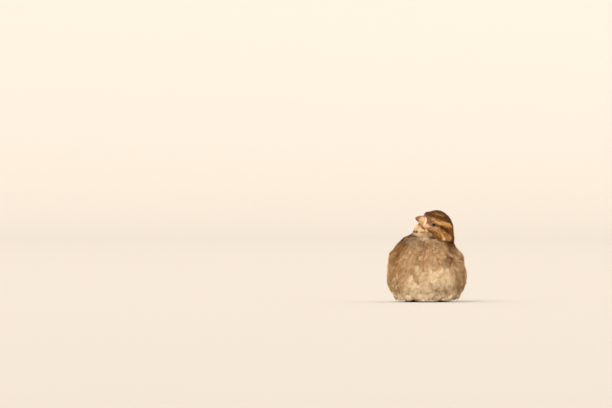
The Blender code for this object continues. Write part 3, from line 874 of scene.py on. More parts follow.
# %% Settling on the surface
surface_tree = KDTree(ROWS * COLUMNS)
flat_points = coat_grid.reshape(-1, 3)
flat_normals = coat_normals.reshape(-1, 3)
for number, point in enumerate(flat_points):
    surface_tree.insert(point, number)
surface_tree.balance()
flat_depth = depth_grid.reshape(-1)
flat_lie = lie(flat_points, flat_normals)
row_share = np.repeat(np.linspace(0, 1, ROWS), COLUMNS)
column_share = np.tile(np.arange(COLUMNS) / COLUMNS, ROWS)


def settle(points):
    """Drops points onto the surface: the nearest grid point's number, and the foot of the perpendicular."""
    flat = points.reshape(-1, 3)
    nearest = np.fromiter((surface_tree.find(p)[1] for p in flat), int, len(flat))
    away = np.sum((flat - flat_points[nearest]) * flat_normals[nearest], -1, keepdims=True)
    return nearest.reshape(points.shape[:-1]), (flat - away * flat_normals[nearest]).reshape(points.shape)


print("surface points to settle on:", len(flat_points))


# %% An even scatter
def scatter(spacing_at, tries):
    """Even random places on the surface, no two nearer than the spacing there."""
    along, around = slopes(coat_grid)
    area = np.linalg.norm(np.cross(around, along), axis=-1).reshape(-1)
    spacing = spacing_at(flat_points)
    chance = area / spacing**2
    chosen = rng.choice(len(area), size=tries, p=chance / chance.sum())
    shift = rng.uniform(-0.5, 0.5, (tries, 2, 1))
    places = flat_points[chosen]
    places = places + shift[:, 0] * along.reshape(-1, 3)[chosen] + shift[:, 1] * around.reshape(-1, 3)[chosen]
    need = spacing[chosen]
    cell = 1.0 / need.max()
    kept, cells = [], {}
    for number, (place, gap) in enumerate(zip(places.tolist(), need.tolist())):
        home = tuple(int(math.floor(c * cell)) for c in place)
        near = (
            other
            for dx in (-1, 0, 1)
            for dy in (-1, 0, 1)
            for dz in (-1, 0, 1)
            for other in cells.get((home[0] + dx, home[1] + dy, home[2] + dz), ())
        )
        if all(math.dist(place, other) > gap for other in near):
            cells.setdefault(home, []).append(place)
            kept.append(number)
    return places[kept]


# %% Roots
def feather_length(points):
    """Length of the feathers at each place: long on the body, short on the crown, tiny on the face."""
    forward, _, up = to_head(points)
    crown = 2.3 + 3.4 * ramp(9.0, -8.0, forward) + 1.6 * ramp(-5.0, -11.0, up)
    from_eye = np.minimum(*(np.linalg.norm(points - EYES[name], axis=-1) for name, _ in SIDES))
    crown = crown * (0.55 + 0.45 * ramp(3.5, 6.5, from_eye))
    body = 12.0 - 6.5 * ramp(-16.0, -1.0, over_line(points)) - 1.5 * ramp(9.0, 4.0, points[..., 2])
    return body + on_head(points) * (crown - body)


def feather_spacing(points):
    """A little more than a tenth of the feathers' length, so that each lies on many others."""
    return 0.12 + 0.100 * feather_length(points)


CANDIDATES = 110000
roots = scatter(feather_spacing, CANDIDATES)
print("feather roots:", len(roots))

# %% [markdown]
# ## One feather
#
# A contour feather is a shaft with soft branches, the barbs, on both sides. A flat leaf shape would look
# like a scale, so each barb is a narrow ribbon of its own that leaves the shaft at an angle, curves towards
# the tip and ends in a point. A few patterns are drawn once, in shares of the feather's length and width.
# Every feather then bends one of them along its own path over the body.

# %% Feather patterns
def feather_pattern(seed, barbs, loose, opening, fineness, shaft_parts=4):
    """A feather laid flat: its points as (share along, share across, lift, ribbon share), and its faces.

    Under the barbs lies a narrow closed vane, so that no gap between barbs shows through the feather.
    Barb k leaves the shaft at share s_k, and ends at s_k + reach·cos(angle) along and ±reach·sin(angle)
    across. The angle closes from `opening` degrees at the base to half of it at the tip. `loose` scatters
    angles, lengths and lifts, and `fineness` is a ribbon's width as a share of the feather's length.
    """
    draw = np.random.default_rng(seed)
    s = np.linspace(0.16, 0.97, barbs) ** 0.9
    along_share = np.tile(np.array((0.0, 0.0, 0.5, 0.5, 1.0)), (barbs, 1))  # of a ribbon's five points
    points, faces = [], []
    for side in (-1, 1):
        start = s + draw.normal(0, 0.4 / barbs, barbs)
        angle = np.radians(opening * (1 - 0.55 * s) + draw.normal(0, 4 + 9 * loose, barbs))
        reach = 0.36 * np.sqrt(np.clip(1 - (1.25 * s - 0.45) ** 2 * 0.9, 0.12, 1))
        reach = reach * (1 + draw.normal(0, 0.08 + 0.20 * loose, barbs))
        width = fineness * (1 + draw.normal(0, 0.18, barbs)) * (1 + 0.4 * (1 - s))
        lift = draw.uniform(0, 0.5, barbs) + loose * draw.normal(0, 0.6, barbs)
        bend = np.radians(draw.normal(13, 5, barbs))
        middle = np.stack([start + 0.55 * reach * np.cos(angle), 0.55 * reach * np.sin(angle)], -1)
        tip = middle + 0.5 * (reach * np.stack([np.cos(angle - bend), np.sin(angle - bend)])).T
        base = np.stack([start, 0 * start], -1)
        across_way = np.stack([-np.sin(angle), np.cos(angle)], -1) * width[:, None]
        rows = np.stack([
            base - across_way * 0.5,
            base + across_way * 0.5,
            middle - across_way * 0.6,
            middle + across_way * 0.6,
            tip,
        ], 1)
        rows[..., 1] *= side
        lifts = np.stack([0 * lift, 0 * lift, lift * 0.6, lift * 0.6, lift * 1.3 + 0.3 * loose], 1)
        offset = len(points) * 5 * barbs
        points.append(np.concatenate([rows, lifts[..., None], along_share[..., None]], -1).reshape(-1, 4))
        ribbon = np.array([[0, 1, 3], [0, 3, 2], [2, 3, 4]])[:, ::side]
        faces.append((offset + 5 * np.arange(barbs)[:, None, None] + ribbon).reshape(-1, 3))
    shaft = np.linspace(0, 1.0, shaft_parts + 1)
    vane = np.linspace(0.02, 0.93, shaft_parts + 1)
    vane_width = 0.19 * np.sqrt(np.clip(1 - (1.75 * vane - 0.85) ** 2, 0.04, 1))
    for run, half, height in ((shaft, 0.011 * (1.2 - shaft), 0.35), (vane, vane_width, -0.5)):
        points += [np.stack([run, sign * half, 0 * run + height, 0 * run], -1) for sign in (1, -1)]
    n = shaft_parts + 1
    for first in (10 * barbs, 10 * barbs + 2 * n):
        i = first + np.arange(shaft_parts)
        faces.append(np.vstack([np.stack([i, i + n, i + n + 1], -1), np.stack([i, i + n + 1, i + 1], -1)]))
    return np.vstack(points), np.vstack(faces)


# %% [markdown]
# Each root is carried along the lie in a few steps, and dropped back onto the surface after each. That
# gives the feather's own path. It starts at the skin and climbs to the surface of the coat, so that every
# feather lies on the ones behind it, as roof tiles do. The colour comes from the markings at the place that
# the feather's outer part covers; its base is dark down, and its fringe is a little paler. A head feather
# that hangs over the head's line keeps the head's colours, and what lies under it is in its shade.

# %% Paths over the body
PATH_STEPS = 5
COLOUR_STEP = 4  # the step whose place gives a feather its colour
LOWEST = 0.9  # the height at which hanging feathers stop
CLEARANCE = 0.3  # between the floor and any feather
PATCH = 0.003  # the side of a feather's place on the map
DARK_CENTRE = np.array((0.060, 0.036, 0.022))


def carry(places, lengths):
    """Paths over the surface: points, normals, headings and coat depths at every step.

    Cheek feathers that reach the head's line go straight on over the crease. Low down on the body, loose
    feathers stop following the surface and hang.
    """
    nearest, at = settle(places)
    heading = flat_lie[nearest]
    turn = rng.normal(0, 1, (len(places), 1)) * (0.10 + 0.10 * (1 - on_head(places)))[:, None]
    heading = unit(heading + turn * np.cross(flat_normals[nearest], heading))
    above = over_line(places)
    straight = 0.55 * ((above > 0.2) & ~starts_under(places)) * ramp(6.0, 2.0, above) * in_front(places)
    loose = ramp(22.0, 9.0, places[:, 2]) * ramp(-0.97, -0.75, flat_normals[nearest][:, 2])
    loose = loose * rng.uniform(0.25, 0.75, len(places))
    steps = []
    for _ in range(PATH_STEPS + 1):
        normal = flat_normals[nearest]
        heading = unit(flattened(unit(0.6 * heading + 0.4 * flat_lie[nearest]), normal))
        steps.append((at, normal, heading, flat_depth[nearest][:, None]))
        stride = (lengths / PATH_STEPS)[:, None]
        ahead, hung = at + heading * stride, at - STRAIGHT_UP * stride
        hung[:, 2] = np.maximum(hung[:, 2], LOWEST)
        nearest, settled = settle(ahead)
        at = settled + straight[:, None] * (ahead - settled)
        at = at + loose[:, None] * (hung - at)
    return tuple(np.stack(parts) for parts in zip(*steps))


print("steps in each feather's path:", PATH_STEPS)


# %% Bending the patterns
def lay_feathers(paths, lengths, patterns, stand, streak):
    """Bends a pattern along every path. Gives points, faces and colours of the whole lot, and its map.

    A point at share a along and b across sits on the path at a, b lengths to the side, and at the height
    of the feather there: from the skin at the root to `stand` of the coat's depth at the tip. `streak`
    says how strongly a feather's middle is dark.
    """
    at_steps, normal_steps, heading_steps, depth_steps = paths
    nearest, _ = settle(at_steps[0])
    home = np.stack([column_share[nearest], row_share[nearest]], -1).clip(0.002, 0.994)
    which = rng.integers(0, len(patterns), len(lengths))
    climb = (stand * (1 + rng.normal(0, 0.07, len(lengths))))[None, :, None]
    tone = 1 + rng.normal(0, 0.11, (len(lengths), 1)) + rng.normal(0, 0.015, (len(lengths), 3))
    root, outer = at_steps[0], at_steps[COLOUR_STEP]
    line, front = over_line(root), in_front(root)
    head_share = np.maximum(on_head(outer), ramp(1.2, 1.8, line) * front)
    shown = mix(body_colours(outer, normal_steps[COLOUR_STEP]), head_colours(outer), head_share) * tone
    # painted light: feather bases made paler by the head's line and where the coat faces up, lifting the shade
    # between feathers
    by_line = bell(line, -1.0, 2.5) * front * ramp(7.0, 3.0, root[:, 0])
    painted_light_on_base = np.maximum(by_line, ramp(0.35, 0.75, normal_steps[0][:, 2]) * (1 - on_head(root)))
    grown_low = line < UNDERLAP
    points, faces, colours, places = [], [], [], []
    count = 0
    for number, (flat, triangles) in enumerate(patterns):
        mine = np.flatnonzero(which == number)
        share, across, lift, ribbon = flat.T[..., None, None]
        step = np.clip(flat[:, 0], 0, 1) * PATH_STEPS
        first = np.clip(step.astype(int), 0, PATH_STEPS - 1)
        t = (step - first)[:, None, None]
        at, normal, heading, depth = (
            part[first][:, mine] * (1 - t) + part[first + 1][:, mine] * t
            for part in (at_steps, normal_steps, heading_steps, depth_steps)
        )
        sideways = unit(np.cross(normal, heading))
        size = lengths[mine][None, :, None]
        height = depth * (climb[:, mine] * (0.08 + 0.92 * np.clip(share, 0, 1.1) ** 0.75) - 1)
        height = height + size * (0.026 * lift - 0.30 * across**2)
        beyond = size * np.clip(share - 1, 0, 1)
        at = at + normal * height + sideways * (across * size) + heading * beyond
        at[..., 2] = np.maximum(at[..., 2], CLEARANCE)
        points.append(at.transpose(1, 0, 2).reshape(-1, 3))
        offsets = count + np.arange(len(mine))[:, None, None] * len(flat)
        faces.append((triangles[None] + offsets).reshape(-1, 3))
        count += len(mine) * len(flat)
        base = 0.42 + 0.40 * painted_light_on_base[mine][None, :, None]
        light = base + (1 - base) * ramp(0.10, 0.62, share) + 0.10 * ramp(0.7, 1.0, ribbon)
        core = 0.06 + 0.08 * streak[mine][None, :]
        middle = streak[mine][None, :] * (bell(across[..., 0], 0, core) * ramp(0.3, 0.5, share[..., 0]))
        colour = mix(shown[mine][None] * light, DARK_CENTRE + 0 * at, middle)
        # painted shadow that the head's overhang casts on the first breast feathers
        shadow = bell(over_line(at), -3.0, 1.6) * in_front(at) * ramp(2.0, 5.5, at[..., 0])
        colour = mix(colour, CREASE_SHADE, 0.95 * shadow * grown_low[mine])
        colours.append(colour.transpose(1, 0, 2).reshape(-1, 3))
        places.append((home[mine][:, None, :] + PATCH * flat[None, :, 1::-1]).reshape(-1, 2))
    return np.vstack(points), np.vstack(faces), np.clip(np.vstack(colours), 0, 1), np.vstack(places)


# %% [markdown]
# ## Which roots are kept
#
# Nothing grows under the folded wings, through the bill or over the eyes. A ray from the skin outwards tells
# whether one of those is overhead. Feathers whose path would cross an eye are left out too. Those near the
# head's line in front grow just long enough to hang over it, so that the line is an edge of feather tips.

# %% What is overhead
def covered(points, normals, names, reach):
    """True where a ray outwards meets one of these solids within `reach` millimetres."""
    tree, _ = solids_tree(names)
    hits = [tree.ray_cast(Vector(p), Vector(n), reach)[0] for p, n in zip(points, normals)]
    return np.array([hit is not None for hit in hits])


LID_HALF_LENGTH, LID_HALF_HEIGHT = 2.02, 1.36  # of the opening between the lids
LID_SHOWS = 0.34  # how much of the lid the feathers leave bare
WING_OVERHEAD, BILL_OVERHEAD = 9.0, 8.0  # how far off these may be and still cover a root
UNDERLAP_LENGTH = 5.5  # of the breast feathers that start under the line
EYE_AXES = {}
for eye_name, eye_side in SIDES:
    nearest_number = surface_tree.find(EYES[eye_name] + eye_side * LEFT * EYE_RADIUS)[1]
    eye_out = flat_normals[nearest_number]
    eye_ahead = unit(FORWARD - eye_out * (FORWARD @ eye_out))
    EYE_AXES[eye_name] = (eye_out, eye_ahead, eye_side * np.cross(eye_ahead, eye_out) * -1)


def over_eye(points, spare):
    """True where a point lies over an eye's opening, widened by `spare`."""
    over = np.zeros(points.shape[:-1], bool)
    for name, _ in SIDES:
        out, ahead, above = EYE_AXES[name]
        away = points - EYES[name]
        round_eye = (away @ ahead / (LID_HALF_LENGTH + spare)) ** 2
        round_eye = round_eye + (away @ above / (LID_HALF_HEIGHT + spare)) ** 2
        over |= (round_eye < 1) & (away @ out > 0)
    return over


print("the left eye looks out along", EYE_AXES["left"][0].round(2))

# %% Roots that stay
numbers, roots = settle(roots)
hidden = covered(roots + 0.3 * flat_normals[numbers], flat_normals[numbers], WINGS, WING_OVERHEAD)
roots = roots[~hidden]
root_lengths = feather_length(roots) * (1 + rng.normal(0, 0.08, len(roots)))
above_line = over_line(roots)
overhang = 2.2 + 0.7 * ramp(0.0, 6.0, roots[:, 0])
downward = np.clip(-flat_lie[settle(roots)[0], 2], 0.45, 1.0)
hangs = (above_line > 0) & (in_front(roots) > 0.3)
to_line = np.where(hangs, (above_line + overhang) / downward, FAR)
reaches = (above_line < 3.2) & (to_line < FAR)
root_lengths = np.where(reaches, to_line, np.minimum(root_lengths, to_line))
root_lengths = np.where(starts_under(roots), UNDERLAP_LENGTH, root_lengths)
paths = carry(roots, root_lengths)
tips, tip_normals = paths[0][-1], paths[1][-1]
clear = ~over_eye(paths[0][2:], LID_SHOWS).any(0)
clear &= ~covered(tips - 0.3 * tip_normals, tip_normals, ("bill_upper", "bill_lower"), BILL_OVERHEAD)
roots, root_lengths = roots[clear], root_lengths[clear]
paths = tuple(part[:, clear] for part in paths)
print("roots kept:", len(roots))

# %% [markdown]
# ## The coat, region by region
#
# The coat is cut into pieces by where each feather grows, as a skinner would name them. Body feathers are
# long and loose, so they get more barbs than the tiny close ones of the face. Mantle feathers have dark
# middles, which makes the streaks on a sparrow's back.

# %% Regions
numbers, _ = settle(roots)
root_normals = flat_normals[numbers]
root_forward, root_left, root_up = to_head(roots)
root_head = on_head(roots) * ~starts_under(roots)
facing_back, facing_up = root_normals[:, 1], root_normals[:, 2]
root_x, root_y, root_z = roots.T
is_head = root_head > 0.5
is_face = is_head & (root_forward > 2.0)
is_neck = ~is_head & (root_z > 50.0)
is_body = ~is_head & ~is_neck
is_back = is_body & (facing_back > 0.25) & (facing_up > -0.35)
is_belly = is_body & ~is_back & (facing_up < -0.35)
is_side = is_body & ~is_back & ~is_belly
REGIONS = {
    "face_left": is_face & (root_left > 0),
    "face_right": is_face & (root_left <= 0),
    "crown": is_head & ~is_face & (root_up > 1.0),
    "cheeks": is_head & ~is_face & (root_up <= 1.0),
    "breast_top": is_neck & (facing_back < -0.2),
    "neck": is_neck & (facing_back >= -0.2),
    "back": is_back,
    "belly_left": is_belly & (root_x > 0),
    "belly_right": is_belly & (root_x <= 0),
    "flank_left": is_side & (root_x > 20.0),
    "flank_right": is_side & (root_x < -20.0),
    "breast": is_side & (np.abs(root_x) <= 20.0),
}

print("roots in each region:", {name: int(members.sum()) for name, members in REGIONS.items()})

# %% Patterns, finish and streaks
BODY_PATTERNS = [feather_pattern(seed, 24, 0.5, 33, 0.014) for seed in range(12)]
HEAD_PATTERNS = [feather_pattern(seed, 8, 0.5, 34, 0.042, 2) for seed in range(40, 50)]
coat_material = plumage_material("feather_vanes", 0.85, 1400.0, specular=0.04)
mantle = ramp(0.2, 0.5, facing_back) * ramp(0.0, 0.35, facing_up) * (1 - root_head)
mantle = mantle * ramp(*MANTLE_FRONT, root_y)
root_streak = 0.10 + 0.75 * mantle + 0.20 * root_head * ramp(3, 6, root_up)
root_streak = np.clip(root_streak * (1 + rng.normal(0, 0.4, len(roots))), 0, 0.95)
root_stand = 1.0 + 0.06 * ramp(20.0, 8.0, root_z)
print("the back's feathers are dark in the middle by", round(float(root_streak[is_back].mean()), 2))

# %% The coat
coat_triangles = 0
for region, members in REGIONS.items():
    chosen = np.flatnonzero(members)
    patterns = HEAD_PATTERNS if root_head[chosen].mean() > 0.5 else BODY_PATTERNS
    points, faces, colours, places = lay_feathers(
        tuple(part[:, chosen] for part in paths),
        root_lengths[chosen],
        patterns,
        root_stand[chosen],
        root_streak[chosen],
    )
    mesh = fill_mesh("coat_" + region, points, [faces], [places[faces]], colours)
    slot = "plumage_neck" if region == "neck" else "plumage_breast"
    slot = "plumage_head" if patterns is HEAD_PATTERNS else slot
    place_piece("coat_" + region, mesh, coat_material, slot)
    coat_triangles += len(faces)
print("coat:", coat_triangles, "triangles in", len(REGIONS), "pieces")

# %% [markdown]
# ## The bill
#
# A sparrow's bill is a short, deep cone in two halves, which meet along the gape. Each half is a row of
# sections: the width, the ridge and the cutting edge are smooth curves through a few points. The ridge and
# the tip are dark horn, the sides paler, and at the corner is a soft fleshy fold.

# %% Bill
CULMEN = [(8.0, 3.0), (11.0, 3.6), (14.0, 3.5), (17.5, 2.8), (20.8, 1.5), (23.2, -0.5)]
TOMIUM = [(8.0, -5.2), (10.0, -4.1), (12.0, -2.9), (14.5, -2.3), (17.5, -1.95), (20.5, -1.7), (23.2, -1.2)]
KEEL = [(8.0, -6.2), (11.0, -5.9), (14.0, -5.35), (17.5, -4.15), (20.4, -2.95), (22.5, -1.75)]
BILL_HALF_WIDTH = [(8.0, 5.0), (11.0, 4.8), (14.0, 4.2), (17.5, 2.95), (20.8, 1.6), (23.2, 0.14)]
HORN_DARK = (0.120, 0.066, 0.044)
HORN_PALE = (0.655, 0.405, 0.190)
VIOLET_TINT_AND_HIGHLIGHT = (0.480, 0.370, 0.390)
GAPE_SKIN = (0.930, 0.700, 0.570)
BILL_START, BILL_END = 8.0, {True: 23.2, False: 22.5}  # how far forward: both halves, the upper, the lower


def mandible(upper):
    """Half a cone: for angle a, across is w·cos(a) and height is the edge plus (ridge - edge)·sin(a)^0.85.

    The inner side is a shallow trough that closes the form; it is painted dark, as shade in the gape between
    the halves.
    """
    forward = BILL_START + (BILL_END[upper] - BILL_START) * np.linspace(0, 1, 72)[:, None] ** 0.85
    angle = full_turn(64)
    outer = np.sin(angle) > 0
    edge = read_curve(TOMIUM, forward) + (0.02 if upper else -0.02)
    ridge = read_curve(CULMEN if upper else KEEL, forward)
    width = read_curve(BILL_HALF_WIDTH, forward * BILL_END[True] / BILL_END[upper]) * (1 if upper else 0.965)
    bulge = np.abs(np.sin(angle)) ** 0.85
    up = edge + (ridge - edge) * bulge * np.where(outer, 1, 0.15)
    across = width * np.sign(np.cos(angle)) * np.abs(np.cos(angle)) ** 0.9
    nostril = bell(forward + 0.8 * (up - 1.6), 13.6, 0.55) * bell(up, 1.6, 0.22) * upper
    across = across * (1 - 0.16 * nostril) * (1 if upper else -1)
    wear = 0.03 * np.sin(forward * 9) * ramp(12, 16, forward) * ramp(21, 18, forward) * outer
    grid = from_head(forward + 0 * angle, across, up + wear)
    steep = np.abs(np.sin(angle)) * outer
    dark = ramp(0.80, 0.99, steep) * (0.75 if upper else 0.45) * ramp(10, 14, forward)
    dark = np.maximum(dark, 0.85 * ramp(17.8, 21.0, forward + (0.5 * up if upper else 0)))
    # painted shade on the inner trough, where the two halves meet at the gape
    dark = np.maximum(dark, 0.9 * ramp(-0.15, -0.6, np.sin(angle)))
    return grid, layered(plain(HORN_PALE, grid), [
        # a violet tint on the horn, with a painted highlight near the culmen's base
        (VIOLET_TINT_AND_HIGHLIGHT, 0.9 * bell(forward, 16.6, 1.8) * bell(up, 1.9, 1.3)),
        (GAPE_SKIN, ramp(15.0, 14.2, forward + 0.35 * np.maximum(-1.5 - up, 0)) + 0 * angle),
        (HORN_DARK, 0.25 * bell(forward, 15.0, 0.5) * ramp(-1.0, 0.5, up)),
        (HORN_DARK, dark + 0 * angle),
        # painted shade in the nostril's dent, standing in for its opening
        (HORN_DARK, 0.7 * nostril),
    ])


horn = plumage_material("bill_horn", 0.34, 700.0)
for name, upper in (("bill_upper", True), ("bill_lower", False)):
    bill_grid, bill_colours = mandible(upper)
    surface_piece("horn_" + name, bill_grid, bill_colours, horn, "bill_horn", name)

# %% [markdown]
# The corner of the mouth is a soft fold of bare skin, wide and pale in a sparrow. It is a short tube along the
# end of the gape, thicker in the middle.

# %% Gape folds
def tube(path, across, upward, half_width, half_height, columns=20):
    """A closed tube: at each point of the path, across·w·cos(a) + upward·h·sin(a) for angles a."""
    angle = full_turn(columns)
    ring = across[:, None] * (half_width[:, None] * np.cos(angle))[..., None]
    ring = ring + upward[:, None] * (half_height[:, None] * np.sin(angle))[..., None]
    return path[:, None] + ring


def taper(share, start=0.25, end=0.25):
    """Rounds both ends of a tube: 0 at its ends, 1 between `start` and 1 - `end`."""
    from_start = np.clip(share / start, 0, 1)
    from_end = np.clip((1 - share) / end, 0, 1)
    return np.sqrt(1 - (1 - from_start) ** 2) * np.sqrt(1 - (1 - from_end) ** 2)


GAPE_PATH = [(15.4, 3.6, -2.15), (13.8, 4.2, -2.4), (12.5, 4.6, -2.9), (11.4, 4.9, -3.6), (10.4, 5.0, -4.3)]
gape_share = np.linspace(0, 1, 28)
for name, side in SIDES:
    gape_line = through(GAPE_PATH, gape_share)
    path = from_head(gape_line[:, 0], side * gape_line[:, 1], gape_line[:, 2])
    heading = unit(np.gradient(path, axis=0))
    across = unit(np.cross(heading, np.broadcast_to(UP, heading.shape)))
    size = 0.42 * taper(gape_share, 0.7, 0.3)
    grid = tube(path, across, np.cross(across, heading), 0.75 * size, size)
    surface_piece("gape_fold_" + name, grid, 0.92 * plain(GAPE_SKIN, grid), horn, "bill_horn")

# %% [markdown]
# ## Eyes and lids
#
# A bird's eyeball is large and mostly hidden: only a disc as wide as the opening shows, bulged by the clear
# cornea. A sparrow's iris is so dark a brown that the eye looks black, until the light catches it. The lid
# is a bare, paler ring that fits round the ball and closes the gap to the feathers.

# %% Eyes
IRIS = (0.040, 0.017, 0.006)
PUPIL = (0.003, 0.003, 0.003)
SCLERA = (0.030, 0.020, 0.015)
LID = (0.400, 0.275, 0.180)


def eyeball(out, ahead, above, middle):
    """A ball whose front is pushed out by the cornea: radius R + 0.28·bell(angle from the front)."""
    tilt = np.linspace(0, math.pi, 60)[:, None]
    turn = full_turn(64)
    radius = EYE_RADIUS + 0.28 * bell(tilt, 0, 0.42)
    flat = radius * np.sin(tilt)
    grid = middle + out * (radius * np.cos(tilt) + 0 * turn)[..., None]
    grid = grid + ahead * (flat * np.cos(turn))[..., None] + above * (flat * np.sin(turn))[..., None]
    fibre = 1 + 0.35 * np.sin(turn * 23) * np.sin(turn * 11 + 1)
    colours = np.array(IRIS) * (fibre + 0 * tilt)[..., None]
    colours = mix(colours, PUPIL, 1 - ramp(0.40, 0.45, tilt) + 0 * turn)
    return grid, mix(colours, SCLERA, ramp(0.66, 0.72, tilt) + 0 * turn)


def ring_surface(grid):
    """Points, faces and map places of a grid that is closed both ways, like a doughnut."""
    rows, columns = grid.shape[:2]
    i, j = np.arange(rows)[:, None], np.arange(columns)
    below, after = (i + 1) % rows, (j + 1) % columns
    quads = np.stack([i * columns + j, i * columns + after, below * columns + after, below * columns + j], -1)
    u, v, u_after, v_after = j / columns, i / rows, (j + 1) / columns, (i + 1) / rows
    places = np.stack([pairs(u, v), pairs(u_after, v), pairs(u_after, v_after), pairs(u, v_after)], 2)
    return grid.reshape(-1, 3), [quads.reshape(-1, 4)], [places.reshape(-1, 4, 2)]


def lid(out, ahead, above, middle):
    """A ring on the ball: an oval round the opening, with a rounded rim 0.3 mm high and 0.46 mm wide."""
    angle, around = full_turn(72), full_turn(14).T
    spread = 0.23 * np.cos(around) + 0.20
    wrinkle = 0.03 * np.sin(angle * 29) * (0.6 + 0.4 * np.sin(angle * 5))
    along = (LID_HALF_LENGTH + spread) * np.cos(angle)
    high = (LID_HALF_HEIGHT + spread) * np.sin(angle) * (1 - 0.06 * np.sin(angle))
    reach = EYE_RADIUS + 0.06 + 0.15 * np.sin(around) + wrinkle
    depth = np.sqrt(np.maximum(reach**2 - along**2 - high**2, 0.2))
    grid = middle + out * depth[..., None] + ahead * along[..., None] + above * high[..., None]
    pale = ramp(-0.2, 0.9, np.cos(around)) + 0 * angle
    return grid, mix(0.55 * plain(LID, grid), LID, pale)


wet = painted_material("eye_gloss", {"Roughness": 0.04, "IOR": 1.376, "Specular IOR Level": 0.35})[0]
lid_skin = plumage_material("lid_skin", 0.6, 1500.0)
for name, _ in SIDES:
    ball_grid, ball_colours = eyeball(*EYE_AXES[name], EYES[name])
    surface_piece("eyeball_" + name, ball_grid, ball_colours, wet, "eye", "eye_" + name)
    lid_grid, lid_colours = lid(*EYE_AXES[name], EYES[name])
    mesh = fill_mesh("eyelid_" + name, *ring_surface(lid_grid), lid_colours.reshape(-1, 3))
    place_piece("eyelid_" + name, mesh, lid_skin, "plumage_head")

# %% [markdown]
# ## Feet
#
# A fluffed bird sits on its feet, so only the toes come out from under the belly feathers. Toes are covered
# with scutes, a row of horny plates across the top, and have soft pads below. The soles are pressed flat on
# the floor. Each claw is a tapered hook whose tip rests on the ground.

# %% Measures of the foot
TOE_SKIN = (0.360, 0.205, 0.150)
CLAW_HORN = (0.090, 0.055, 0.042)
CLAW_BASE = (0.220, 0.150, 0.110)
TOES = (  # its length, its claw's length, its radius, and its bearing outwards from straight ahead in degrees
    ("inner", 10.0, 4.4, 0.95, 24.0),
    ("middle", 14.0, 4.8, 1.0, -4.0),
    ("outer", 10.5, 4.4, 0.95, -32.0),
    ("hind", 8.5, 5.6, 1.05, 176.0),
)
SOLE_CUT = 0.35  # how far the round of a toe is pressed flat
SCUTE = 0.95  # the length of one plate
FOOT = {name: np.array((side * 12.5, 1.5, 0.0)) + CENTRED for name, side in SIDES}

print("toes on each foot:", len(TOES), "and the left one stands at", FOOT["left"].round(1))


# %% Toes and claws
def floor_axes(bearing, side):
    """Level unit vectors ahead along a toe and beside it."""
    turn = math.radians(bearing)
    ahead = np.array((-side * math.sin(turn), -math.cos(turn), 0.0))
    return ahead, np.array((ahead[1], -ahead[0], 0.0))


def on_floor(grid):
    """Presses whatever is under the floor flat onto it."""
    grid[..., 2] = np.maximum(grid[..., 2], 0.0)
    return grid


def toe(middle, length, radius, bearing, side):
    """A tube along the floor: its radius swells at three pads, and plates step along its upper half."""
    ahead, beside = floor_axes(bearing, side)
    share = np.linspace(0, 1, 90)
    swell = radius * (1 + 0.12 * np.cos(share * 6 * math.pi)) * (1 - 0.22 * share)
    path = middle + ahead * (length * (share * 1.02 - 0.01))[:, None] + (0, 0, radius - SOLE_CUT)
    angle = full_turn(28)
    plate = (share[:, None] * length / SCUTE) % 1
    step = 1 + 0.10 * (plate - 0.5) * ramp(0.1, 0.6, np.sin(angle))
    pebble = 1 + 0.03 * np.sin(share[:, None] * length * 8) * np.sin(5 * angle) * ramp(0.2, -0.2, np.sin(angle))
    size = (swell * taper(share, 0.05, 0.06))[:, None] * step * pebble
    grid = path[:, None] + beside * (size * np.cos(angle))[..., None]
    grid = on_floor(grid + STRAIGHT_UP * (size * np.sin(angle))[..., None])
    seam = ramp(0.16, 0.0, plate) * ramp(0.0, 0.5, np.sin(angle))
    return grid, mix(plain(TOE_SKIN, grid), 0.5 * plain(TOE_SKIN, grid), seam)


def claw(middle, length, claw_length, radius, bearing, side):
    """A hook: its path arches and comes down to the floor, its girth shrinks to a point."""
    ahead, beside = floor_axes(bearing, side)
    share = np.linspace(0, 1, 40)
    arch = 0.16 * claw_length * np.sin(math.pi * share) + (radius - SOLE_CUT) * (1.1 - share**2)
    path = middle + ahead * (length - 0.5 + (claw_length + 0.8) * share)[:, None]
    path = path + STRAIGHT_UP * arch[:, None]
    girth = 0.74 * radius * (1 - 0.88 * share**1.2) * taper(share, 0.06, 0.02)
    heading = unit(np.gradient(path, axis=0))
    beside = np.broadcast_to(beside, heading.shape)
    grid = on_floor(tube(path, beside, np.cross(heading, beside), 0.8 * girth, girth, 18))
    return grid, mix(plain(CLAW_HORN, grid), CLAW_BASE, 0.6 * (1 - share)[:, None] + 0 * grid[..., 0])


# %% [markdown]
# The toes and the shank of a foot overlap, and so do the feathers of a wing. Each stays a closed form of its
# own, but they make one piece, and share one map that is cut into cells.

# %% Several forms in one piece
CELLS, CELL_FILLED = 9, 0.94  # closed surfaces share a map of 9 by 9 cells, with gaps between them


def joined_piece(name, parts, material, slot, *nodes):
    """Several closed surfaces as one piece, each with its own cell of the map."""
    points, quads, triangles, places, pole_places, colours = [], [], [], [], [], []
    count = 0
    for number, (grid, colour) in enumerate(parts):
        own_points, own_faces, own_places = closed_surface(grid)
        cell = np.array((number % CELLS, number // CELLS)) / CELLS
        points.append(own_points)
        colours.append(pole_colours(colour))
        for kept, faces in zip((quads, triangles), own_faces):
            kept.append(faces + count)
        for kept, corners in zip((places, pole_places), own_places):
            kept.append(cell + corners * CELL_FILLED / CELLS)
        count += len(own_points)
    points, quads, triangles, places, pole_places, colours = (
        np.concatenate(part) for part in (points, quads, triangles, places, pole_places, colours)
    )
    mesh = fill_mesh(name, points, [quads, triangles], [places, pole_places], colours)
    place_piece(name, mesh, material, slot, *nodes)


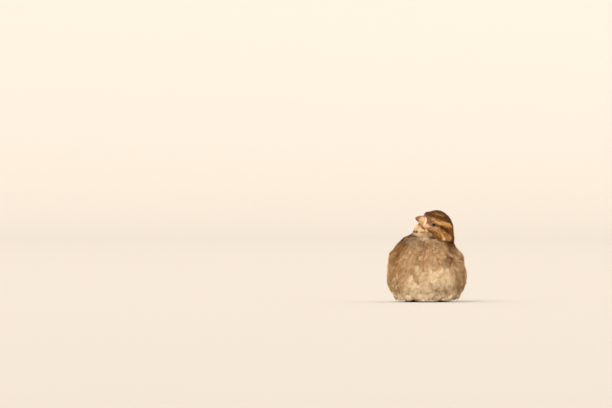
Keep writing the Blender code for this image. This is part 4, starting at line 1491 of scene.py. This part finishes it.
# %% Feet
scute_skin = plumage_material("scute_skin", 0.5, 1100.0)
claw_gloss = plumage_material("claw_horn", 0.3, 900.0)
for name, side in SIDES:
    middle = FOOT[name]
    parts = [toe(middle, length, radius, bearing, side) for _, length, _, radius, bearing in TOES]
    share = np.linspace(0, 1, 30)
    shank = middle + np.array((-side * 0.5, 1.7, 6.0)) * share[:, None] + (0, 0, 0.4)
    flat, deep = (np.broadcast_to(way, shank.shape) for way in np.eye(3)[:2])
    shank_width = (1.2 + 0.9 * bell(share, 0.05, 0.16)) * taper(share, 0.12, 0.03)
    shank_grid = on_floor(tube(shank, flat, deep, shank_width, shank_width * 1.08, 28))
    parts.append((shank_grid, 0.9 * plain(TOE_SKIN, shank_grid)))
    joined_piece("foot_" + name, parts, scute_skin, "leg_skin", "leg_" + name)
    for toe_name, length, claw_length, radius, bearing in TOES:
        claw_grid, claw_colours = claw(middle, length, claw_length, radius, bearing, side)
        node = f"claw_{name}_{toe_name}"
        surface_piece("horn_" + node, claw_grid, claw_colours, claw_gloss, "claw_horn", node)

# %% [markdown]
# ## Wings
#
# A folded wing is a stack of feathers laid over one form. From the shoulder backwards come small rounded
# coverts, one row of median coverts with pale tips, the long greater coverts, then three broad tertials and
# the edges of the flight feathers under them. Each feather here is a thin closed vane, which follows the
# wing's form: along the wing for its length, and round the form for its width. Vanes at the bend of the wing
# that would lie wholly inside the breast's coat are left out.

# %% The wing's form
# Out from the midline, back, height, half chord, half thickness, and how many degrees the chord leans in.
WING = [
    (24.5, -19.5, 41.0, 0.0, 0.0, 4.0),
    (27.4, -15.5, 41.0, 7.6, 3.1, 8.0),
    (29.8, -5.0, 40.4, 11.8, 4.2, 14.0),
    (29.0, 8.0, 38.4, 13.6, 4.3, 22.0),
    (23.0, 24.0, 36.0, 13.0, 3.8, 36.0),
    (13.6, 40.0, 32.0, 8.2, 2.2, 52.0),
    (8.4, 52.0, 29.0, 4.6, 1.3, 60.0),
    (5.6, 61.0, 27.0, 0.0, 0.0, 64.0),
]
WING_BOW = 0.34


def on_wing(side, along, up_share):
    """A place on the folded wing's outer face, for shares along the wing (0 to 1) and up it (-1 to 1).

    Up the chord by c·share, and out by t·√(1 - share²) less the bow, all leaned in by the roof angle.
    """
    out, back, height, chord, thick, roof = np.moveaxis(through(WING, along), -1, 0)
    chord, thick, roof = np.maximum(chord, 0), np.maximum(thick, 0), np.radians(roof)
    up = chord * up_share
    outward = thick * np.sqrt(np.maximum(1 - up_share**2, 0)) - WING_BOW * up**2 / (chord + 1)
    x = out + outward * np.cos(roof) - up * np.sin(roof)
    z = height + outward * np.sin(roof) + up * np.cos(roof)
    return np.stack([side * x - ramp(22, 46, z), back, z], -1) + CENTRED


def wing_normal(side, along, up_share):
    """The outward normal, from the slopes over a short step each way."""
    along = np.clip(along, 0.02, 0.98)
    up_share = np.clip(up_share, -0.96, 0.96)
    back = on_wing(side, along + 0.004, up_share) - on_wing(side, along - 0.004, up_share)
    up = on_wing(side, along, up_share + 0.02) - on_wing(side, along, up_share - 0.02)
    return -side * unit(np.cross(up, back))


print("the left wing is widest at", on_wing(1, np.array(0.43), np.array(0.0)).round(1))


# %% One vane
def vane(place_at, normal_at, half_width, camber, colours, tilt, raised):
    """A thin closed feather. `place_at` and `normal_at` answer for a share along and millimetres across.

    Its width narrows to the root and rounds off at the tip. Its height over the form is a thin lens less
    camber·across² and tilt·across: its lower edge lies higher than its upper edge, which is tucked under
    the next feather.
    """
    share = np.sin(np.linspace(0, math.pi / 2, 24))[:, None]
    angle = full_turn(18)
    rounded = np.sqrt(np.clip(1 - np.clip((share - 0.74) / 0.26, 0, 1) ** 2.4, 0, 1))
    start = 0.35 + 0.65 * ramp(0, 0.4, share)
    width = half_width * rounded * start * taper(share, 0.02, 0.001)
    side_share = np.sign(np.cos(angle)) * np.sqrt(np.abs(np.cos(angle))) + 0 * share
    across = width * side_share
    rise = raised + 0.07 * np.sin(angle) * (rounded * taper(share, 0.02, 0.001))
    rise = rise - camber * across**2 - tilt * across + 0.07 * bell(side_share, 0, 0.12) * (np.sin(angle) > 0)
    grid = place_at(share, across) + normal_at(share, across) * rise[..., None]
    return grid, colours(share + 0 * angle, side_share)


# %% [markdown]
# A flight feather is dark in the middle, with a rusty edge on the side that shows; a covert has a broad pale
# edge and tip. One small recipe paints both: the share of the way from the shaft to the edge, and the share
# along, pass through soft ramps.

# %% Vane colours
WING_EDGE = np.array((0.360, 0.205, 0.105))
BUFF_TIP = np.array((0.400, 0.275, 0.160))
RUFOUS = np.array((0.190, 0.108, 0.060))


def edged(dark, edge, start, tip_start, tone):
    """Colours for a vane: `dark` inside, `edge` beyond `start` towards the sides and `tip_start` along."""
    def colours(share, side_share):
        rim = np.maximum(ramp(start, start + 0.28, np.abs(side_share)), ramp(tip_start, tip_start + 0.1, share))
        shaft = 0.35 * bell(side_share, 0, 0.07)
        painted = mix(dark + np.zeros(share.shape + (3,)), edge, rim)
        return np.clip(tone * painted * (1 - shaft)[..., None], 0, 1)
    return colours


# %% A vane on the wing
def wing_vane(side, start, end, half_width, colours, raised, tilt=0.18, camber=0.02):
    """A vane on the wing's form from one (along, up) place to another."""
    def place(share, across):
        along = start[0] + (end[0] - start[0]) * share
        up_share = start[1] + (end[1] - start[1]) * share + 0 * across
        chord = np.maximum(through(WING, along)[..., 3], 2.5)
        return along + 0 * across, up_share + across / chord

    def place_at(share, across):
        return on_wing(side, *place(share, across))

    def normal_at(share, across):
        return wing_normal(side, *place(share, across))
    return vane(place_at, normal_at, half_width, camber, colours, tilt, raised)


def wing_core(side):
    """The form under the vanes: the wing's outer face and a flatter inner one, a little inside both."""
    along = np.linspace(0.0, 1.0, 60)[:, None] * 0.93 + 0.02
    angle = full_turn(40)
    up_share = 0.93 * np.cos(angle) + 0 * along
    grid = on_wing(side, along + 0 * angle, up_share)
    normal = wing_normal(side, along + 0 * angle, up_share)
    thick = np.maximum(through(WING, along)[..., 4], 0.3)
    inner = thick * (1 - np.sin(angle)) * np.sqrt(1 - 0.85 * np.cos(angle) ** 2)
    grid = grid - normal * (1.9 + inner * 0.6)[..., None]
    if side < 0:
        grid = grid[:, ::-1]
    return grid, plain(WING_DARK, grid)


# %% One wing, feather by feather
SHOWS = 0.15  # how far a vane at the bend of the wing has to stand out of the coat, to be made


def wing_parts(side, draw):
    """Every vane of one wing, from the flight feathers up to the small coverts that cover their bases."""
    parts = [wing_core(side)]

    def add(start, end, half_width, style, raised, **more):
        tone = 1 + draw.normal(0, 0.05)
        part = wing_vane(side, start, end, half_width, edged(*style, tone), raised, **more)
        number, foot = settle(part[0])
        out = np.sum((part[0] - foot) * flat_normals[number], -1)
        if out.max() > SHOWS or tucked.reshape(-1)[number].mean() < 0.5:  # the others lie in the coat
            parts.append(part)

    flight = (WING_DARK, WING_EDGE, 0.55, 0.97)
    for k in range(7):  # primaries, the outermost lowest
        share = k / 6
        start, end = (0.50, -0.80 + 0.55 * share), (0.985 - 0.13 * share, -0.35 + 0.75 * share)
        add(start, end, 2.2, flight, -1.45 + 0.05 * k)
    for k in range(6):  # secondaries, seen as a stack of edges
        share = k / 5
        start, end = (0.36, -0.85 + 0.85 * share), (0.80 - 0.05 * share, -0.62 + 0.95 * share)
        add(start, end, 2.7, flight, -1.20 + 0.05 * k)
    tertial = (WING_DARK * 0.9, WING_EDGE * 1.15, 0.48, 0.93)
    for k in range(3):
        add((0.34, 0.10 + 0.28 * k), (0.73 - 0.06 * k, 0.28 + 0.26 * k), 3.9, tertial, -0.80 + 0.18 * k)
    greater = (WING_DARK * 1.1, WING_EDGE * 1.2, 0.42, 0.90)
    for k in range(9):
        share = k / 8
        start = (0.20 + 0.02 * share, -0.88 + 1.72 * share)
        add(start, (0.47 - 0.02 * share, -0.90 + 1.70 * share), 2.3, greater, -0.75 + 0.03 * k)
    for k in range(3):  # the feathers of the thumb
        start, end = (0.16 + 0.02 * k, -0.98 + 0.08 * k), (0.44 - 0.05 * k, -0.95 + 0.08 * k)
        add(start, end, 1.5, greater, -0.65 + 0.1 * k)
    median = (WING_DARK * 0.9, BUFF_TIP, 0.62, 0.80)
    for k in range(10):
        share = k / 9
        tip = 0.30 + draw.normal(0, 0.010)
        add((0.14, -0.85 + 1.65 * share), (tip, -0.87 + 1.68 * share), 2.5, median, -0.42 + 0.02 * k)
    lesser = (RUFOUS, WING_EDGE * 0.8, 0.55, 0.80)
    for row in range(5):
        count = 9 - (row + 1) // 2
        start = 0.135 - 0.030 * row
        for k in range(count):
            up = -0.84 + 1.66 * (k + 0.5 * (row % 2)) / (count - 0.5)
            add((start, up), (start + 0.085, up), 1.9, lesser, -0.25 + 0.07 * row, tilt=0.1)
    return parts


# %% [markdown]
# A vane's barbs are far too many to model on a wing. They are fine slanting lines, so a wave along and across
# each vane darkens and lifts its finish. Each vane's own part of the map says where along and across is.

# %% Barbs in the finish
def barbed_material(name, lines):
    """Plumage whose colour and height ripple as sin(2π·(lines·along - 8·across)).

    Along and across are shares of each vane, worked out from its cell of the map.
    """
    material = plumage_material(name, 0.65, 1600.0)
    nodes, links = material.node_tree.nodes, material.node_tree.links

    def calculate(operation, *values):
        node = nodes.new("ShaderNodeMath")
        node.operation = operation
        for socket, value in zip(node.inputs, values):
            if isinstance(value, bpy.types.NodeSocket):
                links.new(value, socket)
            else:
                socket.default_value = value
        return node.outputs[0]

    place = nodes.new("ShaderNodeUVMap")
    place.uv_map = "OFBake"
    split = nodes.new("ShaderNodeSeparateXYZ")
    links.new(place.outputs["UV"], split.inputs["Vector"])
    around, row = (calculate("FRACT", calculate("MULTIPLY", split.outputs[axis], CELLS)) for axis in "XY")
    turn = calculate("COSINE", calculate("MULTIPLY", around, 2 * math.pi / CELL_FILLED))
    across = calculate("SQRT", calculate("ABSOLUTE", turn))
    along = calculate("SINE", calculate("MULTIPLY", row, math.pi / 2 / CELL_FILLED))
    forward = calculate("MULTIPLY", along, lines * 2 * math.pi)
    wave = calculate("SINE", calculate("SUBTRACT", forward, calculate("MULTIPLY", across, 16 * math.pi)))
    shader = nodes["Principled BSDF"]
    dim(nodes, links, shader, calculate("MULTIPLY_ADD", wave, 0.13, 1.0))
    bump = shader.inputs["Normal"].links[0].from_node
    speckle = bump.inputs["Height"].links[0].from_socket
    links.new(calculate("MULTIPLY_ADD", wave, 0.5, speckle), bump.inputs["Height"])
    return material


# %% Wings
vanes = barbed_material("wing_vanes", 70)
for number, (name, side) in enumerate(SIDES):
    parts = wing_parts(side, np.random.default_rng(70 + number))
    print("vanes on the", name, "wing:", len(parts) - 1)
    joined_piece("wing_feathers_" + name, parts, vanes, "plumage_wing", "wing_" + name)

# %% [markdown]
# ## Tail
#
# Twelve feathers make the tail. The middle pair lies on top, the others are fanned out below it, and the
# outer ones are a little longer, which gives the shallow notch at the end.

# %% Tail feathers
TAIL_ROOT = np.array((0.0, 34.0, 31.0)) + CENTRED
TAIL_LENGTH, TAIL_NOTCH, TAIL_ARCH = 58.0, 3.0, 1.6
TAIL_FALL = math.radians(15.5)
TAIL_HALF_WIDTH = (6.0, 12.5)


def tail_half(run):
    """Half the tail's width, which grows evenly down its slope."""
    return TAIL_HALF_WIDTH[0] + (TAIL_HALF_WIDTH[1] - TAIL_HALF_WIDTH[0]) * run / TAIL_LENGTH


def on_tail(run, x):
    """A place on the tail: `run` down its slope, x to the side, the edges arched down."""
    down = run * math.sin(TAIL_FALL) + TAIL_ARCH * (x / tail_half(run)) ** 2
    return TAIL_ROOT + np.stack([x, run * math.cos(TAIL_FALL), -down], -1)


def tail_feather(order, side, tone):
    """Feather `order` (0 the middle one, 5 the outermost): its axis fans out, its level goes down."""
    share = (order + 0.35) / 5.5
    reach = TAIL_LENGTH - TAIL_NOTCH * (1 - share) - 0.6 * (order == 5)
    up = np.array((0.0, math.sin(TAIL_FALL), math.cos(TAIL_FALL)))

    def place_at(along, across):
        run = along * reach + 0 * across
        return on_tail(run, side * (tail_half(run) - 2.6) * share + across)

    def normal_at(along, across):
        return np.broadcast_to(up, (*np.broadcast_shapes(along.shape, across.shape), 3))
    dark = (WING_DARK * 1.05, WING_EDGE * 0.75, 0.66, 0.97)
    raised = 0.45 - 0.17 * order
    return vane(place_at, normal_at, 3.1, 0.02, edged(*dark, tone), side * 0.03, raised)


tail_draw = np.random.default_rng(90)
tail_parts = [
    tail_feather(order, side, 1 + tail_draw.normal(0, 0.05))
    for order in range(5, -1, -1)
    for _, side in SIDES
]
joined_piece("tail_feathers", tail_parts, barbed_material("tail_vanes", 130), "plumage_tail", "tail")

# %% [markdown]
# ## Studio
#
# A plain pale floor that turns up into a wall far behind, so that no edge shows. Light comes from the whole
# room, which is soft, with one large window of it from the upper left in front, which models the form.

# %% Floor
FLOOR_RADIUS, WALL_HEIGHT, COVE = 14.0, 4.6, 3.0
WARM = (1.00, 0.87, 0.73)


def sweep():
    """A floor that curves up into a round wall: a profile of floor, quarter circle and wall, turned round."""
    bend = np.linspace(0, math.pi / 2, 16)
    flat = np.linspace(0, FLOOR_RADIUS - COVE, 8)[1:-1]
    radius = np.concatenate([flat, FLOOR_RADIUS - COVE + COVE * np.sin(bend), [FLOOR_RADIUS]])
    height = np.concatenate([0 * flat, COVE * (1 - np.cos(bend)), [WALL_HEIGHT]])
    turn = np.linspace(0, 2 * math.pi, 96, endpoint=False)
    rings = np.stack([
        radius[:, None] * np.cos(turn),
        radius[:, None] * np.sin(turn),
        height[:, None] + 0 * turn,
    ], -1)
    points = np.vstack([[(0, 0, 0)], rings.reshape(-1, 3)])
    columns = len(turn)
    j = np.arange(columns)
    fan = np.stack([0 * j, 1 + j, 1 + (j + 1) % columns], -1)
    row = 1 + np.arange(len(radius) - 1)[:, None] * columns
    after = (j + 1) % columns
    quads = np.stack([row + j, row + columns + j, row + columns + after, row + after], -1).reshape(-1, 4)
    return points / MM, fan, quads


floor_points, floor_fan, floor_quads = sweep()
floor_mesh = fill_mesh("studio_floor", floor_points, [floor_fan, floor_quads])
floor = new_object("studio_floor", floor_mesh)
paper = bpy.data.materials.new("pale_paper")
paper.use_nodes = True
pale = {"Base Color": (0.52, 0.52, 0.52, 1), "Roughness": 0.9, "Specular IOR Level": 0.1}
set_sockets(paper.node_tree.nodes["Principled BSDF"], pale)
floor_mesh.materials.append(paper)
floor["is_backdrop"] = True

print("floor and wall:", len(floor_mesh.polygons), "faces")

# %% Light
world = bpy.data.worlds.new("room_light")
world.use_nodes = True
set_sockets(world.node_tree.nodes["Background"], {"Color": (*WARM, 1), "Strength": 1.45})
bpy.context.scene.world = world


def add_sun(name, direction, strength, softness):
    """Even light from one side of the room, as soft as the angle it fills."""
    lamp = bpy.data.lights.new(name, "SUN")
    lamp.energy = strength
    lamp.angle = math.radians(softness)
    lamp.color = WARM
    light = new_object(name, lamp)
    light.rotation_mode = "QUATERNION"
    light.rotation_quaternion = (-Vector(direction)).to_track_quat("-Z", "Y")


add_sun("window_light", (-0.28, -0.90, 0.55), 2.6, 24)
print("lights besides the room itself:", len(bpy.data.lights))

# %% [markdown]
# ## Camera
#
# A wild bird is seen from far off, through a long lens, at its own height, which gives a flat perspective.
# The camera is level and looks past the bird, which sits to the right and low.

# %% Camera
camera_data = bpy.data.cameras.new("camera")
camera_data.lens = 400
camera_data.sensor_width = 36
camera_data.clip_end = 60
camera = new_object("camera", camera_data)
camera.location = (-0.1104, -6.256, 0.0897)  # metres: beside the bird, in front of it, and just over its head
camera.rotation_euler = (math.pi / 2, 0, 0)
bpy.context.scene.camera = camera
bpy.context.scene.view_settings.view_transform = "Standard"
print("the camera stands", round(-camera.location.y, 2), "m in front of the bird")

# %% Finish
sizes = {"cad": [list(corner) for corner in cad_box], "visual": [list(corner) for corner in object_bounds()]}
growth = [[round((b - a) / MM, 2) for a, b in zip(*pair)] for pair in zip(sizes["cad"], sizes["visual"])]
print("visual box against the solids', low and high corners, mm:", growth)
